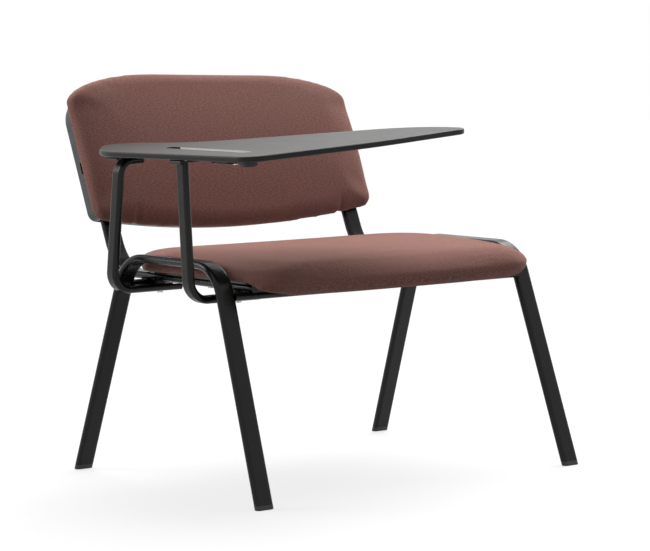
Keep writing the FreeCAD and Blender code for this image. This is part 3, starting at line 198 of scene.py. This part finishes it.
TUBES = ["right_side_frame", "left_side_frame", "front_cross_tube", "rear_cross_tube", "right_seat_rail",
         "left_seat_rail", "rear_arm_post", "front_arm_post"]
HINGES = ["rear_hinge_plate", "front_hinge_plate", "rear_hinge_leaf", "front_hinge_leaf", "tablet_stay",
          "rear_hinge_pin", "front_hinge_pin", "post_spacers"]
tube_coat = powder_coat("satin_black_coat", (0.007, 0.007, 0.0066), dull=0.3, bright=0.22)
hinge_coat = powder_coat("hinge_black_coat", (0.008, 0.008, 0.008), dull=0.42, bright=0.32)
dress(tube_coat, *TUBES)
dress(hinge_coat, *HINGES)

# %% [markdown]
# ## Moulded plastic and rubber
# The feet and tube plugs are dull moulded plastic. The shell behind the back has a fine grain from
# its mould and a cooler sheen. The rest pads and the buffer are rubber, which is duller still.

# %% Moulded finishes
def moulded(name, colour, roughness, grain, depth):
    finish, tree, shader, place = start_finish(name, colour, roughness)
    darker, lighter = ([channel * share for channel in colour] for share in (0.85, 1.25))
    cloudy = blend_colours(tree, noise(tree, place, 22.0), darker, lighter)
    tree.links.new(cloudy, shader.inputs["Base Color"])
    wandering = spread(tree, noise(tree, place, 60.0), roughness - 0.05, roughness + 0.06)
    tree.links.new(wandering, shader.inputs["Roughness"])
    emboss(tree, shader, noise(tree, place, grain, 3.0), depth)
    return finish


PLUGS = ["front_right_foot", "rear_right_foot", "front_left_foot", "rear_left_foot", "right_rail_plug",
         "left_rail_plug", "rear_post_plug", "front_post_plug", "rear_post_top_plug"]
RUBBERS = ["rear_tablet_rest", "front_tablet_rest", "tablet_buffer"]
dress(moulded("plug_plastic", (0.012, 0.012, 0.0125), 0.48, grain=900.0, depth=0.00004), *PLUGS)
dress(moulded("shell_plastic", (0.023, 0.026, 0.031), 0.3, grain=1300.0, depth=0.00005), "back_shell")
dress(moulded("black_rubber", (0.012, 0.012, 0.012), 0.62, grain=1100.0, depth=0.00005), *RUBBERS)

# %% [markdown]
# ## The tablet
# The tablet is a pressed board with a dark textured face. Its grain is very fine, so that a pen still
# runs over it, and it shows as a soft grey sheen when it is seen along its face as in the photograph.
# Its upright faces are given a darker colour than its top, as painted shade. The walls of the pen slot
# are left raw below the thin face, and their pale core shows as a bright line; near the slot's rear end
# the walls get the same painted shade. So one mask is made from the normal and one from the box in which
# the walls are raw.

# %% Tablet face
# The raw box stops short of the slot's rear end, so the walls there take the painted shade of the upright
# faces.
RAW_MIDDLE = (-0.3647, -0.1155, 0.6588)
RAW_HALF = (0.0135, 0.118, 0.0066)
FACE_MEAN = (0.04, 0.04, 0.038)
FACE_DARK, FACE_LIGHT = (0.03, 0.03, 0.0285), (0.046, 0.046, 0.0435)
# Painted shade: the upright faces and the slot's rear end get this darker colour.
UPRIGHT_PAINTED_SHADE = (0.01, 0.0095, 0.009)
RAW_CORE = (0.93, 0.91, 0.88)


def upright_faces(tree):
    """One on faces that stand upright, nothing on level ones."""
    facing = tree.nodes.new("ShaderNodeSeparateXYZ")
    tree.links.new(tree.nodes.new("ShaderNodeTexCoord").outputs["Normal"], facing.inputs["Vector"])
    return calculate(tree, "LESS_THAN", calculate(tree, "ABSOLUTE", facing.outputs["Z"]), 0.6)


def inside_raw_box(tree, place):
    """One inside the box in which the slot's walls are raw, nothing elsewhere."""
    split = tree.nodes.new("ShaderNodeSeparateXYZ")
    tree.links.new(place, split.inputs["Vector"])
    inside = 1.0
    for axis, middle, half in zip("XYZ", RAW_MIDDLE, RAW_HALF):
        near = calculate(tree, "COMPARE", split.outputs[axis], middle)
        near.node.inputs[2].default_value = half
        inside = calculate(tree, "MULTIPLY", inside, near)
    return inside


def choose(tree, mask, first, second):
    """The first colour where the mask is nothing, the second where it is one."""
    mixed = tree.nodes.new("ShaderNodeMix")
    mixed.data_type = "RGBA"
    mixed.inputs["B"].default_value = (*second, 1.0)
    tree.links.new(mask, mixed.inputs["Factor"])
    tree.links.new(first, mixed.inputs["A"])
    return mixed.outputs["Result"]


def tablet_face():
    finish, tree, shader, place = start_finish("tablet_grey", FACE_MEAN, 0.42)
    grain = blend_colours(tree, noise(tree, place, 260.0, 4.0), FACE_DARK, FACE_LIGHT)
    upright = upright_faces(tree)
    walls = calculate(tree, "MULTIPLY", upright, inside_raw_box(tree, place))
    # Painted shade: upright faces get the darker colour, level faces keep the grain.
    shaded_uprights = choose(tree, upright, grain, UPRIGHT_PAINTED_SHADE)
    tree.links.new(choose(tree, walls, shaded_uprights, RAW_CORE), shader.inputs["Base Color"])
    sheen = spread(tree, upright, 0.48, 0.2, start=0.0, stop=1.0)
    tree.links.new(sheen, shader.inputs["Specular IOR Level"])
    tree.links.new(spread(tree, noise(tree, place, 18.0, 3.0), 0.39, 0.42), shader.inputs["Roughness"])
    pores = tree.nodes.new("ShaderNodeTexVoronoi")
    pores.inputs["Scale"].default_value = 1100.0
    tree.links.new(place, pores.inputs["Vector"])
    emboss(tree, shader, pores.outputs["Distance"], 0.00004, 0.5)
    return finish


dress(tablet_face(), "tablet")

# %% [markdown]
# ## Bright steel and stained boards
# Bolts, inserts and screws are zinc plated, with fine turning marks. The boards under the
# cushions are plywood stained black: their long grain still shows as faint streaks in a satin sheen.
# It is made by stretching a noise along the board.

# %% Fasteners and boards
def zinc_steel():
    finish, tree, shader, place = start_finish("zinc_steel", (0.6, 0.6, 0.61), 0.3)
    shader.inputs["Metallic"].default_value = 1.0
    cloudy = blend_colours(tree, noise(tree, place, 160.0), (0.5, 0.5, 0.51), (0.68, 0.68, 0.69))
    tree.links.new(cloudy, shader.inputs["Base Color"])
    tree.links.new(spread(tree, noise(tree, place, 700.0), 0.24, 0.4), shader.inputs["Roughness"])
    emboss(tree, shader, noise(tree, place, 2400.0), 0.00002)
    return finish


def stained_board():
    finish, tree, shader, place = start_finish("stained_board", (0.03, 0.028, 0.026), 0.4)
    stretch = tree.nodes.new("ShaderNodeMapping")
    stretch.inputs["Scale"].default_value = (1.5, 26.0, 26.0)
    tree.links.new(place, stretch.inputs["Vector"])
    grain = noise(tree, stretch.outputs["Vector"], 5.0, 6.0)
    streaks = blend_colours(tree, grain, (0.018, 0.017, 0.016), (0.042, 0.038, 0.034))
    tree.links.new(streaks, shader.inputs["Base Color"])
    tree.links.new(spread(tree, grain, 0.2, 0.32), shader.inputs["Roughness"])
    emboss(tree, shader, grain, 0.0002, 0.4)
    return finish


FASTENERS = ["seat_bolts", "seat_inserts", "back_bolts", "back_inserts", "shell_screws", "post_bolts",
             "leaf_screws", "stay_screws"]
dress(zinc_steel(), *FASTENERS)
dress(stained_board(), "seat_board", "back_board")

# %% [markdown]
# ## Upholstery cloth
# The cover is a flat woven cloth in a muted red brown. Two sets of yarn cross each other, so the
# weave is the product of two waves that run along the cloth's own directions. These directions come
# from a map that is laid out on each cushion, so the weave turns down over the edges with the cloth.
# Yarns differ a little in shade, and a soft nap gives the cloth its pale edge light.

# %% Cloth finish
YARN = 0.0017
YARN_MEAN = (0.3, 0.145, 0.122)
YARN_DARK, YARN_LIGHT = (0.22, 0.098, 0.08), (0.42, 0.21, 0.18)
NAP_TINT = (0.95, 0.6, 0.53)


def upholstery_cloth():
    finish, tree, shader, place = start_finish("brown_cloth", YARN_MEAN, 0.9)
    laid = tree.nodes.new("ShaderNodeUVMap")
    laid.uv_map = "cloth"
    split = tree.nodes.new("ShaderNodeSeparateXYZ")
    tree.links.new(laid.outputs["UV"], split.inputs["Vector"])

    def wave(axis):
        turned = calculate(tree, "MULTIPLY", split.outputs[axis], 2.0 * math.pi / YARN)
        return calculate(tree, "SINE", turned)

    crossing = calculate(tree, "MULTIPLY", wave("X"), wave("Y"))
    yarns = tree.nodes.new("ShaderNodeMapping")
    yarns.inputs["Scale"].default_value = (1.0, 3.0, 1.0)
    tree.links.new(laid.outputs["UV"], yarns.inputs["Vector"])
    fleck = noise(tree, yarns.outputs["Vector"], 170.0, 3.0)
    shade = blend_colours(tree, fleck, YARN_DARK, YARN_LIGHT, start=0.3, stop=0.7)
    weave_shade = spread(tree, crossing, 0.84, 1.08, start=-1.0, stop=1.0)
    tree.links.new(scale_colour(tree, shade, weave_shade), shader.inputs["Base Color"])
    shader.inputs["Sheen Weight"].default_value = 0.7
    shader.inputs["Sheen Roughness"].default_value = 0.45
    shader.inputs["Sheen Tint"].default_value = (*NAP_TINT, 1.0)
    shader.inputs["Specular IOR Level"].default_value = 0.14
    soft = emboss(tree, shader, noise(tree, place, 55.0, 3.0), 0.0004, 0.25)
    emboss(tree, shader, crossing, 0.00022, 0.7, before=soft)
    return finish


cloth = upholstery_cloth()
print("cloth with", len(cloth.node_tree.nodes), "nodes")

# %% [markdown]
# ## Blowing up a cushion
# A cushion is foam with cloth pulled over it. The CAD form already has its crown and its drawn-in
# sides, so the cloth starts from that form: a copy is merged, remeshed into even squares, and blown
# up by Blender's cloth with gravity off. What lies against the board is pinned. No point may move
# further than a cap, and smoothing and one subdivision take the last creases out.

# %% Cushion helpers
MERGE = 0.00002
VOXEL = 0.005
FIRST_PASSES = 3
PRESSURE = 0.9
FRAMES = 20


def applied(body, name):
    """A new mesh with the object's modifiers applied."""
    shaped = body.evaluated_get(bpy.context.evaluated_depsgraph_get())
    mesh = bpy.data.meshes.new_from_object(shaped)
    mesh.name = name
    return mesh


def even_copy(node, name):
    """A copy of a CAD cushion in even squares."""
    mesh = nodes[node].data.copy()
    work = bmesh.new()
    work.from_mesh(mesh)
    bmesh.ops.remove_doubles(work, verts=work.verts, dist=MERGE)
    work.to_mesh(mesh)
    work.free()
    cushion = bpy.data.objects.new(name, mesh)
    scene.collection.objects.link(cushion)
    squares = cushion.modifiers.new("squares", "REMESH")
    squares.mode = "VOXEL"
    squares.voxel_size = VOXEL
    cushion.data = applied(cushion, name)
    cushion.modifiers.clear()
    return cushion


def smooth(cushion, held, passes):
    """Even out the points that nothing holds."""
    work = bmesh.new()
    work.from_mesh(cushion.data)
    loose = [vert for vert, kept in zip(work.verts, held) if not kept]
    for _ in range(passes):
        bmesh.ops.smooth_vert(work, verts=loose, factor=0.5,
                              use_axis_x=True, use_axis_y=True, use_axis_z=True)
    work.to_mesh(cushion.data)
    work.free()


def blow_up(cushion, name, held, cap):
    """Let the cloth swell under pressure, no point further than the cap."""
    grip = cushion.vertex_groups.new(name="held")
    grip.add([index for index, kept in enumerate(held) if kept], 1.0, "REPLACE")
    before = [vert.co.copy() for vert in cushion.data.vertices]
    skin = cushion.modifiers.new("skin", "CLOTH")
    skin.settings.quality = 5
    skin.settings.mass = 0.3
    skin.settings.tension_stiffness = 25.0
    skin.settings.compression_stiffness = 25.0
    skin.settings.bending_stiffness = 1.0
    skin.settings.use_pressure = True
    skin.settings.uniform_pressure_force = PRESSURE
    skin.settings.vertex_group_mass = "held"
    skin.settings.effector_weights.gravity = 0.0
    skin.collision_settings.use_collision = False
    for step in range(1, FRAMES + 1):
        scene.frame_set(step)
    cushion.data = applied(cushion, name)
    cushion.modifiers.clear()
    scene.frame_set(1)
    for vert, start in zip(cushion.data.vertices, before):
        move = vert.co - start
        if move.length > cap:
            vert.co = start + move * (cap / move.length)


def blown_cushion(node, name, pinned, cap, passes):
    """A cloth cushion in the form of a CAD one; pinned tells which points the board holds."""
    cushion = even_copy(node, name)
    held = [pinned(vert.co) for vert in cushion.data.vertices]
    smooth(cushion, held, FIRST_PASSES)
    blow_up(cushion, name, held, cap)
    smooth(cushion, held, passes)
    cushion.data.materials.clear()
    cushion.data.materials.append(cloth)
    for face in cushion.data.polygons:
        face.use_smooth = True
    finer = cushion.modifiers.new("finer", "SUBSURF")
    finer.levels = 1
    finer.render_levels = 1
    return cushion


# %% [markdown]
# ## Shaping by points
# After the simulation a cushion still gets the marks of its making and use. They are moves of its
# points, worked out for all of them at once. The cloth's map is made last, from the final points.

# %% Point helpers
def points_of(piece):
    """The points of a piece, as rows of x, y and z."""
    points = np.empty(len(piece.data.vertices) * 3)
    piece.data.vertices.foreach_get("co", points)
    return points.reshape(-1, 3)


def put_points(piece, points):
    """Write moved points back to their piece."""
    piece.data.vertices.foreach_set("co", points.ravel())


def evened(row, span, ends):
    """A running mean over a row of values; ends says how the row goes on past its ends."""
    return np.convolve(np.pad(row, span // 2, ends), np.ones(span) / span, "valid")


def lay_cloth(piece, across, along, rise, half_across, half_along, turn):
    """Lay the cloth's two directions on a cushion: flat on top, and on down over its sides."""
    mesh = piece.data
    points = points_of(piece)
    u, v, w = (points @ np.array(axis) for axis in (across, along, rise))
    u0, v0 = (u.max() + u.min()) / 2, (v.max() + v.min()) / 2
    fall = w.max() - w
    side_u = np.clip((np.abs(u - u0) - half_across + turn) / turn, 0.0, 1.0)
    side_v = np.clip((np.abs(v - v0) - half_along + turn) / turn, 0.0, 1.0)
    laid = np.stack([u + np.sign(u - u0) * fall * side_u, v + np.sign(v - v0) * fall * side_v], 1)
    layer = mesh.uv_layers.new(name="cloth")
    corners = np.empty(len(mesh.loops), int)
    mesh.loops.foreach_get("vertex_index", corners)
    layer.data.foreach_set("uv", laid[corners].astype(np.float32).ravel())


# %% [markdown]
# ## The seat cushion
# The seat is crowned, rolls down over its front edge and tucks in under its sides. The board holds
# it from below, so every point at the level of the board or under it is pinned. Foam that has been sat
# on sinks a little, so the crown is let down by a few millimetres. Then the front half of the upper
# rim is drawn down and in, so that the sides curve over to the top, and the lower front edge hangs
# in a shallow bow in front of the cross tube.

# %% Seat cushion
HOLD = 0.002
SINK = 0.0095
REAR_KEPT = 0.7
CORNER_POWER = 8
RIM_STEPS = 240
RIM_SPAN = 5
RIM_REACH = 0.075
RIM_DROP = 0.013
RIM_PULL = 0.012
RIM_FADE = 0.4
LEAST_RADIUS = 0.001
FRONT_SAG = 0.0105
FRONT_REACH = 0.06
BOW_POWER = 4
seat_low, seat_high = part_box("seat_board")


def seat_held(point):
    """Points under the cloth's turn, against the board."""
    inside = abs(point.x) < seat_high.x + HOLD and seat_low.y - HOLD < point.y < seat_high.y + HOLD
    return inside and point.z < seat_high.z + HOLD


def height_over_board(points):
    """Nothing at the board's top and below it, one at the crown."""
    return np.clip((points[:, 2] - seat_high.z) / (points[:, 2].max() - seat_high.z), 0.0, 1.0)


def settle(piece):
    """Let the top sink, most at the front corners and least at the rear ones."""
    points = points_of(piece)
    outward = np.abs(points[:, 0]) / np.abs(points[:, 0]).max()
    rear = points[:, 1].max()
    forward = (rear - points[:, 1]) / (rear - points[:, 1].min())
    rear_side = (1.0 - forward) * outward ** 2
    share = 1.0 - REAR_KEPT * rear_side + forward * outward ** CORNER_POWER
    points[:, 2] -= SINK * height_over_board(points) ** 2 * share
    put_points(piece, points)


def round_over(piece):
    """Draw the upper rim down and in; the rim's place is found in steps round the middle."""
    points = points_of(piece)
    plan = points[:, :2] - (points[:, :2].max(0) + points[:, :2].min(0)) / 2
    radius = np.hypot(plan[:, 0], plan[:, 1])
    turn = np.arctan2(plan[:, 1], plan[:, 0]) / (2 * math.pi) + 0.5
    step = (turn * RIM_STEPS).astype(int) % RIM_STEPS
    rim = np.zeros(RIM_STEPS)
    np.maximum.at(rim, step, radius)
    rim = evened(rim, RIM_SPAN, "wrap")
    near = np.clip(1.0 - (rim[step] - radius) / RIM_REACH, 0.0, 1.0) ** 2
    forward = np.clip(0.5 - plan[:, 1] / RIM_FADE, 0.0, 1.0)
    bent = near * height_over_board(points) * forward
    points[:, :2] -= plan * (RIM_PULL * bent / np.maximum(radius, LEAST_RADIUS))[:, None]
    points[:, 2] -= RIM_DROP * bent
    put_points(piece, points)


def sag_front(piece):
    """Let the lower front edge hang in a shallow bow."""
    points = points_of(piece)
    near = np.clip(1.0 - (points[:, 1] - points[:, 1].min()) / FRONT_REACH, 0.0, 1.0)
    bow = 1.0 - (points[:, 0] / np.abs(points[:, 0]).max()) ** BOW_POWER
    depth = (points[:, 2].max() - points[:, 2]) / np.ptp(points[:, 2])
    points[:, 2] -= FRONT_SAG * near * bow * depth
    put_points(piece, points)


seat = blown_cushion("seat_cushion", "seat_cushion_cloth", seat_held, cap=0.002, passes=9)
settle(seat)
round_over(seat)
sag_front(seat)
lay_cloth(seat, (1, 0, 0), (0, 1, 0), (0, 0, 1), half_across=0.35, half_along=0.23, turn=0.07)
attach(seat, "chair")
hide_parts("seat_cushion")
print("seat cushion", len(seat.data.polygons), "faces")

# %% [markdown]
# ## The back cushion
# The back pad leans by twenty-three degrees. It is a thinner pad with a soft crown, pulled tight over
# its board, and its lower edge dips in the middle. It is made like the seat, in the back's plane, and
# then its lower edge is let down a little, so that the cloth hides the rim of the shell behind it.
# Where the uprights come in, the cloth is pulled up in a short tuck. The photographed pad isn't quite
# even: its top stands higher at the tablet's side, so the top is raised there.

# %% Back cushion
LEAN = math.radians(23.0)
BACK_ORIGIN = Vector((0.0, 0.298, 0.495))
BACK_UP = Vector((0.0, math.sin(LEAN), math.cos(LEAN)))
BACK_FRONT = Vector((0.0, -math.cos(LEAN), math.sin(LEAN)))
BOARD_FRONT = 0.0042
COLUMN = 0.01
COLUMN_SPAN = 7
HANG_DROP = 0.008
HANG_REACH = 0.06
WIDEN = 1.011
TUCK_PLACE = 0.262
TUCK_WIDTH = 0.005
TUCK_DEPTH = 0.006
LIFT_MIDDLE = 0.0025
LIFT_SIDE = 0.0095


def back_held(point):
    """Points behind the front of the board, in the back's plane."""
    return (point - BACK_ORIGIN).dot(BACK_FRONT) < BOARD_FRONT + HOLD


def hang_over(piece):
    """Let the lower edge hang, with a tuck at each upright, and pull the cloth wide over its board."""
    points = points_of(piece)
    climb = points @ np.array(BACK_UP)
    column = np.round(points[:, 0] / COLUMN).astype(int)
    column -= column.min()
    lowest = np.full(column.max() + 1, np.inf)
    np.minimum.at(lowest, column, climb)
    lowest = evened(lowest, COLUMN_SPAN, "edge")
    share = np.clip(1.0 - (climb - lowest[column]) / HANG_REACH, 0.0, 1.0) ** 2
    beside = (np.abs(points[:, 0]) - TUCK_PLACE) / TUCK_WIDTH
    tuck = TUCK_DEPTH * share ** 2 * np.exp(-beside ** 2)
    points -= np.outer(share * HANG_DROP - tuck, BACK_UP) + np.outer(tuck, BACK_FRONT)
    points[:, 0] *= WIDEN
    put_points(piece, points)


def set_askew(piece):
    """Raise the top, more at the tablet's side than at the other, with the lower edge left in place."""
    points = points_of(piece)
    climb = points @ np.array(BACK_UP)
    height = (climb - climb.min()) / np.ptp(climb)
    side = -points[:, 0] / np.abs(points[:, 0]).max()
    points += np.outer((LIFT_MIDDLE + LIFT_SIDE * side) * height, BACK_UP)
    put_points(piece, points)


back = blown_cushion("back_cushion", "back_cushion_cloth", back_held, cap=0.005, passes=14)
hang_over(back)
set_askew(back)
lay_cloth(back, (1, 0, 0), BACK_UP, BACK_FRONT, half_across=0.3545, half_along=0.165, turn=0.06)
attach(back, "chair")
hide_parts("back_cushion")
print("back cushion", len(back.data.polygons), "faces")

# %% [markdown]
# ## Welds
# The cross tubes are welded to the legs and carry the seat rails, so each of these joints gets short
# beads. A bead is a row of overlapping drops, as a welder leaves them, and it takes the black coat.
# The places come from the frame: the ends of a cross tube, and the rails that lie on top of it.

# %% Weld beads
BEAD = 0.0022
DROPS = 8
FLATTEN = Matrix.Diagonal((1.0, 1.0, 0.8, 1.0))


def weld_bead(shape, start, stop):
    """A row of flattened drops from one point to another."""
    for step in range(DROPS):
        place = Matrix.Translation(start.lerp(stop, step / (DROPS - 1)))
        bmesh.ops.create_uvsphere(shape, u_segments=10, v_segments=6, radius=BEAD, matrix=place @ FLATTEN)


beads = bmesh.new()
for tube in ("front_cross_tube", "rear_cross_tube"):
    low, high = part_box(tube)
    middle_y = (low.y + high.y) / 2
    flat = (high.z - low.z) / 2
    along_bead = Vector((0.0, 2 * flat, 0.0))
    for side in (-1, 1):
        for level in (low.z, high.z):
            end = Vector((side * high.x, middle_y - flat, level))
            weld_bead(beads, end, end + along_bead)
    for rail in ("right_seat_rail", "left_seat_rail"):
        rail_low, rail_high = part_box(rail)
        rail_middle = (rail_low.x + rail_high.x) / 2
        edge = (rail_high.x - rail_low.x) / 2 - flat + BEAD
        for side in (-1, 1):
            foot = Vector((rail_middle + side * edge, middle_y - flat, high.z))
            weld_bead(beads, foot, foot + along_bead)
bead_mesh = bpy.data.meshes.new("weld_beads")
beads.to_mesh(bead_mesh)
beads.free()
for face in bead_mesh.polygons:
    face.use_smooth = True
bead_mesh.materials.append(tube_coat)
welds = bpy.data.objects.new("weld_beads", bead_mesh)
scene.collection.objects.link(welds)
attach(welds, "chair")
print("weld beads", len(bead_mesh.polygons), "faces")

# %% [markdown]
# ## Floor
# The photograph has a plain white ground. The floor takes the shadow. It is nearly white to the
# camera and to reflections, under a white veil that thins the shadow, and it is darker to the light
# that it throws back, so that the seat's front stays darker than its top.

# %% Floor
FLOOR_HALF = 14.0
FLOOR_BOUNCE = 0.25
FLOOR_VEIL = 0.72


def seen_directly(tree):
    """One for rays from the camera, from a reflection or through glass, nothing for light on its way."""
    rays = tree.nodes.new("ShaderNodeLightPath")
    direct = calculate(tree, "MAXIMUM", rays.outputs["Is Camera Ray"], rays.outputs["Is Glossy Ray"])
    return calculate(tree, "MAXIMUM", direct, rays.outputs["Is Transmission Ray"])


def pale_floor():
    finish, tree, shader, place = start_finish("pale_floor", (0.9, 0.9, 0.9), 0.8)
    pale = blend_colours(tree, noise(tree, place, 3.0), (0.93, 0.93, 0.93), (0.95, 0.95, 0.95))
    direct = seen_directly(tree)
    shown = spread(tree, direct, FLOOR_BOUNCE, 1.0, start=0.0, stop=1.0)
    tree.links.new(scale_colour(tree, pale, shown), shader.inputs["Base Color"])
    shader.inputs["Specular IOR Level"].default_value = 0.0
    white = tree.nodes.new("ShaderNodeEmission")
    veil = tree.nodes.new("ShaderNodeMixShader")
    tree.links.new(spread(tree, direct, 0.0, FLOOR_VEIL, start=0.0, stop=1.0), veil.inputs[0])
    tree.links.new(shader.outputs["BSDF"], veil.inputs[1])
    tree.links.new(white.outputs["Emission"], veil.inputs[2])
    tree.links.new(veil.outputs["Shader"], tree.nodes["Material Output"].inputs["Surface"])
    return finish


floor_shape = bmesh.new()
bmesh.ops.create_grid(floor_shape, x_segments=1, y_segments=1, size=FLOOR_HALF)
floor_mesh = bpy.data.meshes.new("floor")
floor_shape.to_mesh(floor_mesh)
floor_shape.free()
floor_mesh.materials.append(pale_floor())
floor = bpy.data.objects.new("floor", floor_mesh)
scene.collection.objects.link(floor)
print("floor", floor_mesh.name)

# %% [markdown]
# ## Light
# The photograph's light is soft and comes from above and behind, which leaves the faces that look
# down or to the front dark. The world is white to the camera and to reflections, and as light it is
# a dim sky that is brightest overhead. A wide sun from the right rear gives most of the light. It is
# kept out of reflections, so that the black tubes stay black. One soft lamp at the left rear lights
# the seat under the tablet, and one at the right puts highlights on the bends of the tubes.

# %% World and lamps
SKY_TOP = 0.8
SKY_POWER = 2.0
SUN_STRENGTH = 3.2
SUN_WIDTH = math.radians(60.0)
SUN_RAYS = Vector((-0.75, -0.45, -1.0))
CHAIR_MIDDLE = Vector((0.0, 0.0, 0.45))


def studio_world():
    world = bpy.data.worlds.new("studio")
    world.use_nodes = True
    tree = world.node_tree
    sky = tree.nodes["Background"]
    direction = tree.nodes.new("ShaderNodeSeparateXYZ")
    tree.links.new(tree.nodes.new("ShaderNodeTexCoord").outputs["Generated"], direction.inputs["Vector"])
    upward_part = calculate(tree, "MAXIMUM", direction.outputs["Z"], 0.0)
    glow = calculate(tree, "MULTIPLY", calculate(tree, "POWER", upward_part, SKY_POWER), SKY_TOP)
    direct = seen_directly(tree)
    shaded = calculate(tree, "MULTIPLY", glow, calculate(tree, "SUBTRACT", 1.0, direct))
    tree.links.new(calculate(tree, "ADD", shaded, direct), sky.inputs["Strength"])
    sky.inputs["Color"].default_value = (1.0, 1.0, 1.0, 1.0)
    return world


def hang_lamp(name, kind, power, rays):
    """A lamp whose light runs along a direction."""
    lamp = bpy.data.lights.new(name, kind)
    lamp.energy = power
    body = bpy.data.objects.new(name, lamp)
    body.rotation_euler = rays.to_track_quat("-Z", "Y").to_euler()
    scene.collection.objects.link(body)
    return body


def soft_lamp(name, place, size, power):
    """A square lamp that faces the chair."""
    body = hang_lamp(name, "AREA", power, CHAIR_MIDDLE - Vector(place))
    body.location = place
    body.data.size = size


scene.world = studio_world()
sun = hang_lamp("sky_lamp", "SUN", SUN_STRENGTH, SUN_RAYS)
sun.data.angle = SUN_WIDTH
sun.visible_glossy = False
soft_lamp("left_lamp", (-2.6, 2.0, 1.7), size=1.6, power=45.0)
soft_lamp("right_lamp", (1.9, 0.6, 2.2), size=1.2, power=20.0)
